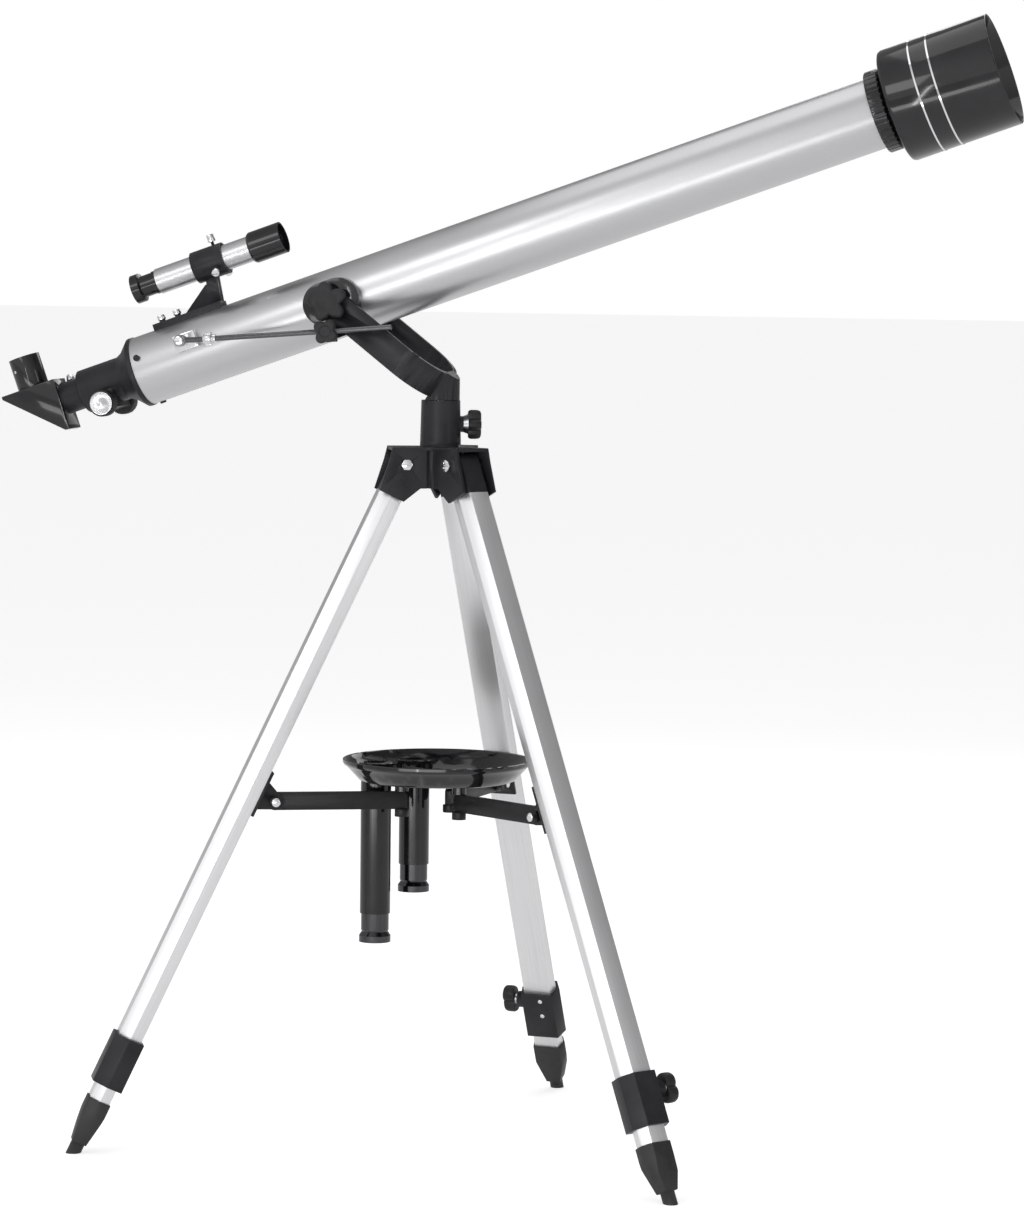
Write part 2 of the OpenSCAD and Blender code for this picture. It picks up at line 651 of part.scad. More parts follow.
// Prism-shaped shell, hollow inside, with a bore in front and one on top
module diagonal_housing() color("#111113") tube_frame() {
    difference() {
        translate([0, diagonal_w / 2, 0]) rotate([90, 0, 0]) linear_extrude(diagonal_w)
            polygon([[prism_back_s, prism_top_t], [prism_back_s, prism_top_t - 3],
                     [diagonal_front_s - 4, prism_low_t], [diagonal_front_s, prism_low_t],
                     [diagonal_front_s, prism_top_t]]);
        translate([0, diagonal_w / 2 - prism_wall, 0]) rotate([90, 0, 0])
            linear_extrude(diagonal_w - 2 * prism_wall)
                polygon([SLOPE_HIGH, SLOPE_LOW,
                         [diagonal_front_s - 3, SLOPE_LOW[1]], [diagonal_front_s - 3, SLOPE_HIGH[1]]]);
        translate([diagonal_front_s - 8, 0, 0]) along_x()
            cylinder(r = eye_r - 2.2, h = 40, $fn = fine);
        translate([fold_s, 0, prism_top_t - 8]) cylinder(r = eye_r - 1, h = 12, $fn = fine);
    }
    ring_x(diagonal_front_s, diagonal_front_s + nose_len, eye_r - run_gap, eye_r - 2.2);
}

module eyepiece_barrel() color("#161618") tube_frame() translate([fold_s, 0, prism_top_t])
    difference() {
        cylinder(r = barrel_r, h = barrel_h, $fn = fine);
        translate([0, 0, -1]) cylinder(r = eye_r, h = barrel_h + 2, $fn = fine);
        translate([-barrel_r - 1, 0, barrel_h - 9]) along_x() cylinder(r = 1.6, h = 5, $fn = 32);
    }

// Flat mirror behind the fold
module diagonal_mirror() color("#cfd6dc") tube_frame()
    translate([SLOPE_LOW[0], 0, SLOPE_LOW[1]]) rotate([0, slope_turn - 90, 0])
        translate([run_gap, prism_wall + 0.2 - diagonal_w / 2, slope_len * 0.16])
            cube([mirror_t, diagonal_w - 2 * prism_wall - 0.4, slope_len * 0.6]);

// ---- Finder ----

module finder_frame() tube_frame() translate([0, 0, finder_rise]) children();

module finder_bracket() color("#19191b") {
    tube_frame() difference() {
        union() {
            translate([finder_foot_s, -9, tube_r - 6]) cube([finder_foot_len, 18, 11]);
            translate([finder_foot_s + finder_foot_len - 12, 0, tube_r]) rotate([0, 8, 0])
                translate([0, -5, 0]) cube([11, 10, finder_rise - tube_r - finder_ring_od / 2 + 2.4]);
            translate([0, 5, 0]) rotate([90, 0, 0]) linear_extrude(10)
                polygon([[finder_foot_s + 32, tube_r + 4], [finder_foot_s + finder_foot_len - 4, tube_r + 4],
                         [finder_foot_s + finder_foot_len - 4, tube_r + 24],
                         [finder_foot_s + finder_foot_len - 10, tube_r + 24]]);
        }
        translate([-200, 0, 0]) along_x() cylinder(r = tube_r, h = 200, $fn = fine);
    }
    finder_frame() difference() {
        ring_x(finder_ring_s, finder_ring_s + finder_ring_len, finder_ring_od / 2, finder_od / 2 + 1);
        for (turn = [0, 120, 240]) rotate([turn, 0, 0])
            translate([finder_screw_s, 0, 0]) cylinder(r = 1.5 + run_gap, h = 30, $fn = 32);
    }
}

// Three aiming screws in the ring, and the two that hold the foot
module finder_screws() color("#cfd1d4") {
    finder_frame() for (turn = [0, 120, 240]) rotate([turn, 0, 0])
        translate([finder_screw_s, 0, finder_od / 2 + 0.25]) {
            cylinder(r = 1.5, h = 8, $fn = 32);
            translate([0, 0, finder_ring_od / 2 - finder_od / 2 + 3])
                cylinder(r = 3.6, h = 7, $fn = 32);
        }
    tube_frame() for (at = [8, 24]) translate([finder_foot_s + at, 0, tube_r + 5]) {
        cylinder(r = 3, h = 2, $fn = 32);
        translate([0, 0, 2]) cylinder(r = 3.8, h = 4.5, $fn = 32);
    }
}

module finder_tube() color("#b5b7ba") finder_frame()
    ring_x(finder_back_s, finder_front_s, finder_od / 2, finder_od / 2 - 1);

module finder_objective_cell() color("#131315") finder_frame() {
    r = finder_cell_d / 2;
    turned([[finder_od / 2 - 1, finder_front_s - 4], [finder_od / 2 - 1, finder_front_s],
            [finder_od / 2, finder_front_s], [r - 1.2, finder_front_s], [r, finder_front_s + 2],
            [r, finder_front_s + finder_cell_len], [r - 1.6, finder_front_s + finder_cell_len],
            [r - 2.4, finder_front_s + 8], [finder_od / 2 - 3, finder_front_s + 8],
            [finder_od / 2 - 3, finder_front_s - 4]]);
}

module finder_eyepiece() color("#131315") finder_frame() {
    bore = finder_od / 2 - 1 - run_gap;
    shank = finder_od / 2 - 1.8;
    flange = finder_od / 2 + 1.6;
    turned([[bore - 2.5, finder_back_s + 14], [bore, finder_back_s + 14], [bore, finder_back_s - 4],
            [shank, finder_back_s - 4], [shank, finder_back_s - 16],
            [flange, finder_back_s - 17.3], [flange, finder_back_s - 25],
            [4.5, finder_back_s - 25], [4.5, finder_back_s - 21], [bore - 2.5, finder_back_s - 17]]);
}

// ---- Tray and spare optics ----

module tray() color("#101012") at_axis() difference() {
    union() {
        translate([0, 0, tray_z]) rotate_extrude($fn = fine)
            polygon([[0, 0], [tray_floor_r - 3, 0], [tray_floor_r, 1], [tray_r - 3, tray_h - 6],
                     [tray_r - 1, tray_h - 5], [tray_r, tray_h - 3], [tray_r, tray_h - 0.6],
                     [tray_r - 1, tray_h], [tray_r - 2.4, tray_h - 0.6], [tray_r - 4.6, tray_h - 5],
                     [tray_floor_r - 1.4, tray_wall + 1], [tray_floor_r - 4, tray_wall], [0, tray_wall]]);
        for (at = [ERECTING_AT, BARLOW_AT]) translate([at[0], at[1], tray_z])
            cylinder(r = socket_r, h = socket_h, $fn = fine);
        for (turn = LEG_TURN) rotate([0, 0, turn]) {
            translate([brace_in_r, 0, brace_z + brace_h / 2 + 0.1])
                cylinder(r = 6.5, h = tray_z - brace_z - brace_h / 2 + 1, $fn = 48);
            rotate([0, 0, 60]) translate([14, -1, tray_z]) cube([tray_floor_r - 16, 2, tray_wall + 7]);
        }
        translate([0, 0, tray_z]) difference() {
            cylinder(r = 15, h = tray_wall + 7, $fn = 64);
            translate([0, 0, tray_wall]) cylinder(r = 13, h = 20, $fn = 64);
        }
    }
    for (at = [ERECTING_AT, BARLOW_AT]) translate([at[0], at[1], tray_z - 1])
        cylinder(r = spare_od / 2 + slip_gap, h = socket_h + 2, $fn = fine);
    for (turn = LEG_TURN) rotate([0, 0, turn])
        translate([brace_in_r, 0, brace_z + brace_h / 2 - 1])
            cylinder(r = thumb_r + 0.1, h = 7.2, $fn = 48);
}

// Black tube that hangs in a tray socket by its flange
module spare_tube(at, low) at_axis() translate([at[0], at[1], tray_z]) rotate_extrude($fn = fine)
    polygon([[9, low], [spare_od / 2, low], [spare_od / 2, socket_h + 0.1],
             [spare_flange_r, socket_h + 0.1], [spare_flange_r, socket_h + 2.6],
             [spare_flange_r - 0.8, socket_h + 3.4], [9, socket_h + 3.4]]);

// Bright eyepiece end with a flared cup
module spare_end(at, low, h) at_axis() translate([at[0], at[1], tray_z + low]) rotate_extrude($fn = fine)
    polygon([[5, h + 12], [9, h + 12], [9, h], [spare_od / 2 - 1.2, h], [spare_od / 2 - 1.2, h * 0.42],
             [spare_od / 2 - 2, h * 0.36], [spare_od / 2 + 0.6, h * 0.22], [spare_od / 2 + 0.6, 0],
             [spare_od / 2 - 1.5, 0], [spare_od / 2 - 4, h * 0.2], [5, h * 0.2]]);

module erecting_tube() color("#141416") spare_tube(ERECTING_AT, -erecting_drop + 27);
module erecting_eyepiece() color("#8f9194") spare_end(ERECTING_AT, -erecting_drop, 27);
module barlow_tube() color("#141416") spare_tube(BARLOW_AT, -barlow_drop + 26);
module barlow_eyepiece() color("#8f9194") spare_end(BARLOW_AT, -barlow_drop, 26);

// ---- Legs ----

module outer_leg(k) color("#d4d5d6") leg_frame(k) difference() {
    leg_length(leg_top, outer_leg_end, 0);
    leg_length(leg_top - 1, outer_leg_end + 1, -leg_wall);
    translate([0, KNOB_SIDE[k] * leg_mid_w / 2, -clamp_at]) rotate([90, 0, 0])
        cylinder(r = clamp_screw_r + 0.3, h = 12, center = true, $fn = 32);
}

// Hinge cap at the top and clamp housing at the bottom, both fixed to the outer leg
module leg_mouldings(k) color("#151517") leg_frame(k) {
    difference() {
        union() {
            leg_length(0, leg_top, 0);
            intersection() {
                leg_length(-leg_depth, 1, 0);
                rotate([90, 0, 0]) cylinder(r = leg_depth / 2, h = leg_mid_w, center = true, $fn = fine);
            }
            leg_length(leg_top - 1, leg_top + 20, -leg_wall);
        }
        rotate([90, 0, 0])
            cylinder(r = bolt_r + run_gap, h = leg_mid_w + 2, center = true, $fn = 48);
    }
    difference() {
        union() {
            leg_length(housing_low - housing_h, housing_low, housing_wall);
            translate([0, 0, -clamp_at]) rotate([KNOB_SIDE[k] * -90, 0, 0])
                cylinder(r = 8, h = leg_mid_w / 2 + 9, $fn = 48);
        }
        leg_length(housing_low - housing_h - 1, outer_leg_end, 0);
        leg_length(outer_leg_end - 1, housing_low + 1, -inner_inset + 0.2);
        translate([0, 0, -clamp_at]) rotate([KNOB_SIDE[k] * -90, 0, 0])
            cylinder(r = clamp_screw_r + run_gap, h = leg_mid_w, $fn = 48);
    }
}

module leg_knob(k) color("#1b1b1d") leg_frame(k) translate([0, 0, -clamp_at])
    rotate([KNOB_SIDE[k] * -90, 0, 0]) {
        translate([0, 0, leg_mid_w / 2 - 1.3]) cylinder(r = clamp_screw_r, h = 16, $fn = 48);
        translate([0, 0, knob_y]) rotate([0, 0, 90]) lobed_knob(2, 14, 4.4, 14, 6);
    }

module inner_leg(k) color("#e2e3e4") leg_frame(k) difference() {
    leg_length(inner_leg_end - inner_leg_len, inner_leg_end, -inner_inset);
    leg_length(inner_leg_end - inner_leg_len - 1, inner_leg_end + 1, -inner_inset - leg_wall);
}

// Tapered rubber foot, cut level at the ground
module foot(k) color("#1d1d1d") difference() {
    leg_frame(k) difference() {
        union() {
            intersection() {
                top = -leg_span + foot_len;
                low = -foot_end;
                half_x = leg_depth / 2 - 0.4;
                half_y = leg_mid_w / 2 - 0.6;
                rotate([90, 0, 0]) linear_extrude(60, center = true)
                    polygon([[half_x, top], [-half_x, top], [-half_x, top - foot_straight],
                             [-nub_r - 0.6, low], [nub_r + 0.6, low], [half_x, top - foot_straight]]);
                rotate([90, 0, 90]) linear_extrude(60, center = true)
                    polygon([[half_y, top], [-half_y, top], [-half_y, top - foot_straight],
                             [-nub_r - 0.6, low], [nub_r + 0.6, low], [half_y, top - foot_straight]]);
                leg_length(leg_span - foot_len - 1, foot_end + 1, 0);
            }
            translate([0, 0, -leg_span - 10]) cylinder(r = nub_r, h = 24, $fn = 48);
        }
        leg_length(leg_span - foot_len - 1, inner_leg_end, -inner_inset);
    }
    at_axis() translate([-2 * foot_circle_r, -2 * foot_circle_r, -100])
        cube([4 * foot_circle_r, 4 * foot_circle_r, 100]);
}

// Plate and ears on a leg's back that hold the brace's hinge pin
module brace_bracket(k) color("#131315") leg_frame(k) translate([0, 0, -bracket_at]) {
    difference() {
        union() {
            translate([-leg_depth / 2 - bracket_plate_t, -leg_back_w / 2, -21])
                cube([bracket_plate_t, leg_back_w, 45]);
            for (side = [-1, 1]) translate([0, side * (brace_t / 2 + slip_gap + ear_t / 2), 0])
                rotate([90, 0, 0]) linear_extrude(ear_t, center = true) {
                    polygon([[-leg_depth / 2 - 1, 15], [-leg_depth / 2 - 1, -15],
                             [-bracket_off, -8], [-bracket_off, 8]]);
                    translate([-bracket_off, 0]) circle(r = 8, $fn = 48);
                }
        }
        translate([-bracket_off, 0, 0]) rotate([90, 0, 0])
            cylinder(r = pin_r + run_gap, h = 40, center = true, $fn = 48);
    }
    translate([-bracket_off, 0, 0]) rotate([90, 0, 0]) {
        cylinder(r = pin_r, h = brace_t + 2 * ear_t + 4, center = true, $fn = 48);
        for (side = [-1, 1])
            translate([0, 0, side * (brace_t / 2 + slip_gap + ear_t + 1.2 + run_gap)])
                cylinder(r = 5, h = 2.4, center = true, $fn = 48);
    }
}

module brace_arm(k) color("#17171a") at_axis() rotate([0, 0, LEG_TURN[k]])
    translate([brace_pivot_r, 0, brace_z]) {
        reach = brace_pivot_r - brace_in_r;
        difference() {
            rotate([90, 0, 0]) linear_extrude(brace_t, center = true) {
                circle(r = brace_h / 2, $fn = 64);
                polygon([[0, -brace_h / 2], [-reach - arm_nose, -brace_h / 2],
                         [-reach - arm_nose, brace_h / 2 - arm_slope],
                         [-reach - arm_nose + arm_slope, brace_h / 2], [0, brace_h / 2]]);
            }
            rotate([90, 0, 0]) cylinder(r = pin_r + run_gap, h = 20, center = true, $fn = 48);
            translate([-reach, 0, -20]) cylinder(r = thumb_r + run_gap, h = 40, $fn = 48);
        }
        translate([-reach, 0, 0]) {
            translate([0, 0, -brace_h / 2 - 1]) cylinder(r = thumb_r, h = brace_h + 1 + thumb_grip, $fn = 48);
            translate([0, 0, -brace_h / 2 - 7 - run_gap]) cylinder(r = 6.5, h = 7, $fn = 48);
        }
    }

tripod_head();
leg_pivot_bolts();
azimuth_knob();
fork();
fork_spindle();
altitude_knob(-1);  // altitude_knob_near
altitude_knob(1);  // altitude_knob_far
rod_clamp();
rod_clamp_knob();
altitude_rod();
fine_adjust_nut();
main_tube();
pivot_pads();
rod_bracket();
tube_screws();
objective_cell();
objective_lens();
focuser_body();
drawtube();
gear_rack();
drawtube_screw();
pinion_shaft();
focus_knobs();
focus_knob_caps();
diagonal_housing();
eyepiece_barrel();
diagonal_mirror();
dew_shield();
dew_shield_rings();
finder_bracket();
finder_screws();
finder_tube();
finder_objective_cell();
finder_eyepiece();
tray();
erecting_tube();
erecting_eyepiece();
barlow_tube();
barlow_eyepiece();
outer_leg(0);  // outer_leg_a
leg_mouldings(0);  // leg_mouldings_a
leg_knob(0);  // leg_knob_a
inner_leg(0);  // inner_leg_a
foot(0);  // foot_a
brace_bracket(0);  // brace_bracket_a
brace_arm(0);  // brace_arm_a
outer_leg(1);  // outer_leg_b
leg_mouldings(1);  // leg_mouldings_b
leg_knob(1);  // leg_knob_b
inner_leg(1);  // inner_leg_b
foot(1);  // foot_b
brace_bracket(1);  // brace_bracket_b
brace_arm(1);  // brace_arm_b
outer_leg(2);  // outer_leg_c
leg_mouldings(2);  // leg_mouldings_c
leg_knob(2);  // leg_knob_c
inner_leg(2);  // inner_leg_c
foot(2);  // foot_c
brace_bracket(2);  // brace_bracket_c
brace_arm(2);  // brace_arm_c
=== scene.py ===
# %% [markdown]
# # A small refracting telescope on a folding stand
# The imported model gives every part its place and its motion. This file gives the parts
# their finish: rounded edges, ribs and knurls, lacquer, chrome, rubber and glass.
# Lengths are in metres, and a length written with MM is in millimetres.

# %% Load the fixed frame
import json
import math
import bmesh
import bpy
from mathutils import Matrix, Vector


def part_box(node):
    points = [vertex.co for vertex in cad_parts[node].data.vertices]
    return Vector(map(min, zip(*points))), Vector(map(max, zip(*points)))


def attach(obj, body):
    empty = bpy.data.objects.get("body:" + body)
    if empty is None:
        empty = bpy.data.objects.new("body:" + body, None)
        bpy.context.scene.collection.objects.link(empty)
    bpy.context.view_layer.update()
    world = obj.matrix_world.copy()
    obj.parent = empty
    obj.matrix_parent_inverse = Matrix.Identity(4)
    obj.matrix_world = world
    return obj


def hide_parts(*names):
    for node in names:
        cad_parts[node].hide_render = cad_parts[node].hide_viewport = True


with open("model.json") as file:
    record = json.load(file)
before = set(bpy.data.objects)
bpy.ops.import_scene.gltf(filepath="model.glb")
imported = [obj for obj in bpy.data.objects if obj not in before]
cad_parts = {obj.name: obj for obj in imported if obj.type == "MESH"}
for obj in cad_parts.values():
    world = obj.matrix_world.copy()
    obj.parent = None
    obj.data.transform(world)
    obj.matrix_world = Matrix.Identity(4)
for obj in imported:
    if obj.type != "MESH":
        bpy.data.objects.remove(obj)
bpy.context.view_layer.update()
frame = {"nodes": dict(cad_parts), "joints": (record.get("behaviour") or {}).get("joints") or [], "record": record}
MM = 0.001
nodes = frame["nodes"]
record = frame["record"]
body_of_node = {n: b for b, group in record["behaviour"]["bodies"].items() for n in group}
joints = {j["name"]: j for j in frame["joints"]}

# %% [markdown]
# ## Directions and places
# The joints already say where things are: the dew shield slides along the optical axis,
# and each clamp screw turns about its own axis. Reading them here means that no place is
# typed twice, and a change in the CAD model moves the details with it.

# %% Axes read from the joints
def joint_axis(name):
    return Vector(joints[name]["axis"]).normalized()


def joint_place(name):
    return Vector(joints[name]["pos_m"])


def centre(node):
    low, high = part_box(node)
    return (low + high) / 2


def frame_along(origin, z_axis, x_hint=Vector((0, 1, 0))):
    """A matrix whose Z runs along z_axis from origin."""
    z = z_axis.normalized()
    x = x_hint - z * x_hint.dot(z)
    if x.length < 1e-6:
        x = Vector((1, 0, 0)) - z * z.x
    x.normalize()
    y = z.cross(x)
    m = Matrix((x, y, z)).transposed().to_4x4()
    m.translation = origin
    return m


def reach(node, origin, axis):
    """Lowest and highest station of a node along an axis, and its largest radius."""
    low, high, radius = 1e9, -1e9, 0.0
    for v in nodes[node].data.vertices:
        d = v.co - origin
        s = d.dot(axis)
        low, high = min(low, s), max(high, s)
        radius = max(radius, (d - axis * s).length)
    return low, high, radius


OPTICAL = joint_axis("dew_shield_slide")
PIVOT = joint_place("altitude")
UP_TUBE = Vector((-OPTICAL.z, 0, OPTICAL.x))
TUBE = frame_along(PIVOT, OPTICAL, UP_TUBE)
STAND = joint_place("azimuth_swivel")
print("optical axis", tuple(round(c, 4) for c in OPTICAL))

# %% [markdown]
# ## Shader helpers
# Every finish is a Principled shader with a little noise in its roughness and its bump.
# Object coordinates keep the pattern fixed to the part, because every part's object sits
# at the origin and only its mesh holds its place.

# %% Small helpers for shader nodes
def new_finish(name, colour, metallic, roughness):
    mat = bpy.data.materials.new(name)
    mat.use_nodes = True
    tree = mat.node_tree
    shader = tree.nodes["Principled BSDF"]
    shader.inputs["Base Color"].default_value = (*colour, 1)
    shader.inputs["Metallic"].default_value = metallic
    shader.inputs["Roughness"].default_value = roughness
    mat.diffuse_color = (*colour, 1)
    return mat, tree, shader


def coords(tree, scale=(1, 1, 1), turn=(0, 0, 0)):
    source = tree.nodes.new("ShaderNodeTexCoord")
    mapping = tree.nodes.new("ShaderNodeMapping")
    mapping.vector_type = "POINT"
    mapping.inputs["Scale"].default_value = scale
    mapping.inputs["Rotation"].default_value = turn
    tree.links.new(source.outputs["Object"], mapping.inputs["Vector"])
    return mapping.outputs["Vector"]


def noise(tree, vector, scale, detail=3.0, roughness=0.5):
    n = tree.nodes.new("ShaderNodeTexNoise")
    n.inputs["Scale"].default_value = scale
    n.inputs["Detail"].default_value = detail
    n.inputs["Roughness"].default_value = roughness
    tree.links.new(vector, n.inputs["Vector"])
    return n.outputs["Fac"]


def spread(tree, value, low, high, start=0.3, end=0.7):
    """Maps a noise value from start..end to low..high."""
    n = tree.nodes.new("ShaderNodeMapRange")
    for key, number in (("From Min", start), ("From Max", end), ("To Min", low), ("To Max", high)):
        n.inputs[key].default_value = number
    tree.links.new(value, n.inputs["Value"])
    return n.outputs["Result"]


def colour_between(tree, value, dark, light):
    n = tree.nodes.new("ShaderNodeMix")
    n.data_type = "RGBA"
    n.inputs["A"].default_value = (*dark, 1)
    n.inputs["B"].default_value = (*light, 1)
    tree.links.new(value, n.inputs["Factor"])
    return n.outputs["Result"]


def bumps(tree, shader, *layers):
    """Stacks bump layers of (height value, strength, distance in metres) on a shader."""
    last = None
    for height, strength, distance in layers:
        n = tree.nodes.new("ShaderNodeBump")
        n.inputs["Strength"].default_value = strength
        n.inputs["Distance"].default_value = distance
        tree.links.new(height, n.inputs["Height"])
        if last is not None:
            tree.links.new(last, n.inputs["Normal"])
        last = n.outputs["Normal"]
    tree.links.new(last, shader.inputs["Normal"])


# %% [markdown]
# ## Silver lacquer
# The main tube is rolled aluminium under a metallic lacquer. The lacquer has fine flakes,
# a faint orange peel, and a soft satin gloss that stretches the lamps into long bands.

# %% Silver lacquer on the tubes
def silver_lacquer():
    mat, tree, shader = new_finish("silver_lacquer", (0.60, 0.60, 0.61), 0.92, 0.3)
    at = coords(tree)
    flakes = noise(tree, at, 1900, 2)
    cloud = noise(tree, at, 14, 3)
    tone = colour_between(tree, spread(tree, flakes, 0, 1), (0.56, 0.565, 0.57), (0.62, 0.62, 0.63))
    tree.links.new(tone, shader.inputs["Base Color"])
    tree.links.new(spread(tree, cloud, 0.32, 0.38), shader.inputs["Roughness"])
    bumps(tree, shader, (flakes, 0.03, 0.00001), (noise(tree, at, 260, 2), 0.015, 0.00004))
    shader.inputs["Coat Weight"].default_value = 0.25
    shader.inputs["Coat Roughness"].default_value = 0.12
    return mat


# %% [markdown]
# ## Leg aluminium
# The legs are satin anodised extrusions. Their die leaves fine lines that run along the
# leg, so the noise is stretched along each leg's own direction.

# %% Anodised aluminium with draw lines along one direction
def leg_aluminium(name, direction):
    mat, tree, shader = new_finish(name, (0.83, 0.835, 0.84), 0.88, 0.36)
    turn = direction.to_track_quat("Z", "Y").inverted().to_euler()
    along = coords(tree, (1, 1, 1), tuple(turn))
    stretch = tree.nodes.new("ShaderNodeMapping")
    stretch.inputs["Scale"].default_value = (1, 1, 0.006)
    tree.links.new(along, stretch.inputs["Vector"])
    lines = noise(tree, stretch.outputs["Vector"], 1500, 4, 0.6)
    cloud = noise(tree, coords(tree), 9, 3)
    dark, light = (0.77, 0.775, 0.785), (0.88, 0.88, 0.885)
    tone = colour_between(tree, spread(tree, lines, 0, 1), dark, light)
    tree.links.new(tone, shader.inputs["Base Color"])
    tree.links.new(spread(tree, cloud, 0.32, 0.42), shader.inputs["Roughness"])
    bumps(tree, shader, (lines, 0.18, 0.00002))
    return mat


# %% [markdown]
# ## Black plastics
# Three black plastics are told apart by their gloss. Moulded gloss parts mirror the lamps,
# with faint smears. Satin parts have a spark-eroded grain, and the knobs a coarser one.

# %% Gloss, satin and grained black plastic
def black_plastic(name, tone, gloss, grain_scale, grain_depth, coat=0.0, shine=0.25):
    mat, tree, shader = new_finish(name, tone, 0.0, gloss)
    shader.inputs["Specular IOR Level"].default_value = shine
    at = coords(tree)
    smear = noise(tree, at, 22, 4, 0.6)
    grain = noise(tree, at, grain_scale, 2)
    light = tuple(c * 1.9 + 0.003 for c in tone)
    shade = colour_between(tree, spread(tree, smear, 0, 1), tone, light)
    tree.links.new(shade, shader.inputs["Base Color"])
    tree.links.new(spread(tree, smear, gloss * 0.75, gloss * 1.5), shader.inputs["Roughness"])
    bumps(tree, shader, (noise(tree, at, 60, 2), 0.08, 0.00015), (grain, 0.35, grain_depth))
    shader.inputs["Coat Weight"].default_value = coat
    shader.inputs["Coat Roughness"].default_value = 0.05
    return mat


# %% [markdown]
# ## Painted metal, chrome, steel, rubber and glass
# Paint pools a little, so it has a soft peel. Chrome is nearly a mirror with hairlines.
# Rubber is matt and slightly dusty, and the objective's coating tints its reflection.

# %% Painted metal
def paint(name, tone, gloss):
    mat, tree, shader = new_finish(name, tone, 0.1, gloss)
    shader.inputs["Specular IOR Level"].default_value = 0.3
    at = coords(tree)
    peel = noise(tree, at, 420, 2)
    dust = noise(tree, at, 30, 5, 0.65)
    light = tuple(c * 1.6 + 0.004 for c in tone)
    shade = colour_between(tree, spread(tree, dust, 0, 1), tone, light)
    tree.links.new(shade, shader.inputs["Base Color"])
    tree.links.new(spread(tree, dust, gloss * 0.85, gloss * 1.3), shader.inputs["Roughness"])
    bumps(tree, shader, (peel, 0.22, 0.00005))
    return mat


# %% Bright and turned metals
def bright_metal(name, tone, gloss, line_scale, stretch_scale=(1, 1, 1)):
    mat, tree, shader = new_finish(name, tone, 1.0, gloss)
    at = coords(tree, stretch_scale)
    hair = noise(tree, at, line_scale, 3, 0.6)
    tree.links.new(spread(tree, hair, gloss * 0.7, gloss * 1.6), shader.inputs["Roughness"])
    dark = tuple(c * 0.9 for c in tone)
    shade = colour_between(tree, spread(tree, hair, 0, 1), dark, tone)
    tree.links.new(shade, shader.inputs["Base Color"])
    bumps(tree, shader, (hair, 0.12, 0.00001))
    return mat


# %% Spun metal face, whose fine rings catch the light in a cross
def spun_face():
    mat, tree, shader = new_finish("spun_face", (0.62, 0.62, 0.63), 1.0, 0.24)
    tangent = tree.nodes.new("ShaderNodeTangent")
    tangent.direction_type = "RADIAL"
    tangent.axis = "Y"
    tree.links.new(tangent.outputs["Tangent"], shader.inputs["Tangent"])
    shader.inputs["Anisotropic"].default_value = 0.9
    fine = noise(tree, coords(tree), 2400, 2)
    tree.links.new(spread(tree, fine, 0.16, 0.30), shader.inputs["Roughness"])
    return mat


# %% Rubber
def rubber():
    mat, tree, shader = new_finish("foot_rubber", (0.016, 0.016, 0.016), 0.0, 0.55)
    at = coords(tree)
    dust = noise(tree, at, 55, 5, 0.7)
    tone = colour_between(tree, spread(tree, dust, 0, 1), (0.012, 0.012, 0.012), (0.03, 0.029, 0.028))
    tree.links.new(tone, shader.inputs["Base Color"])
    tree.links.new(spread(tree, dust, 0.42, 0.68), shader.inputs["Roughness"])
    bumps(tree, shader, (noise(tree, at, 900, 2), 0.3, 0.00006))
    return mat


# %% Coated glass
def coated_glass():
    mat, tree, shader = new_finish("coated_glass", (0.86, 0.93, 0.97), 0.0, 0.02)
    shader.inputs["Transmission Weight"].default_value = 0.9
    shader.inputs["IOR"].default_value = 1.52
    shader.inputs["Coat Weight"].default_value = 0.6
    shader.inputs["Coat Tint"].default_value = (0.55, 0.42, 0.85, 1)
    smear = noise(tree, coords(tree), 45, 4)
    tree.links.new(spread(tree, smear, 0.01, 0.05), shader.inputs["Roughness"])
    return mat


# %% The palette, by the record's slot names
FINISH = {
    "silver_tube": silver_lacquer(),
    "gloss_black_plastic": black_plastic("gloss_black_plastic", (0.006, 0.006, 0.007), 0.1, 500,
                                         0.00001, 0.25, 0.4),
    "satin_black_plastic": black_plastic("satin_black_plastic", (0.013, 0.013, 0.015), 0.34,
                                         1300, 0.00004),
    "knob_plastic": black_plastic("knob_plastic", (0.015, 0.015, 0.016), 0.4, 1000, 0.00006),
    "fork_enamel": paint("fork_enamel", (0.016, 0.0165, 0.018), 0.34),
    "black_steel": paint("black_steel", (0.009, 0.009, 0.01), 0.3),
    "turned_steel": bright_metal("turned_steel", (0.5, 0.51, 0.53), 0.24, 1500),
    "chrome": bright_metal("chrome", (0.83, 0.83, 0.84), 0.07, 900),
    "optical_glass": coated_glass(),
    "mirror_glass": bright_metal("mirror_glass", (0.9, 0.92, 0.94), 0.03, 300),
    "foot_rubber": rubber(),
}
SPUN = spun_face()
SMOKED = bright_metal("smoked_chrome", (0.09, 0.09, 0.095), 0.12, 900)
# painted shade: this dark steel stands in for the shadow the fine altitude rod lies in
ROD = bright_metal("rod_steel_painted_shade", (0.17, 0.17, 0.175), 0.26, 1500)
for leg in "abc":
    direction = joint_axis(f"leg_{leg}_extend")
    FINISH[f"leg_aluminium_{leg}"] = leg_aluminium(f"leg_aluminium_{leg}", direction)
slot_of = {s["node"]: s["material_slot"] for s in record["subparts"]}


def finish_of(node):
    slot = slot_of[node]
    if slot == "leg_aluminium":
        return FINISH[f"leg_aluminium_{node[-1]}"]
    return FINISH[slot]


print("finishes", len(FINISH) + 1)

# %% [markdown]
# ## Rounded edges
# A real edge is never quite sharp, and its small radius is what catches the light. Each
# CAD part is copied, its loose triangles are welded and its flat faces merged, and then
# every corner edge gets a bevel that stays inside the part's own outline.

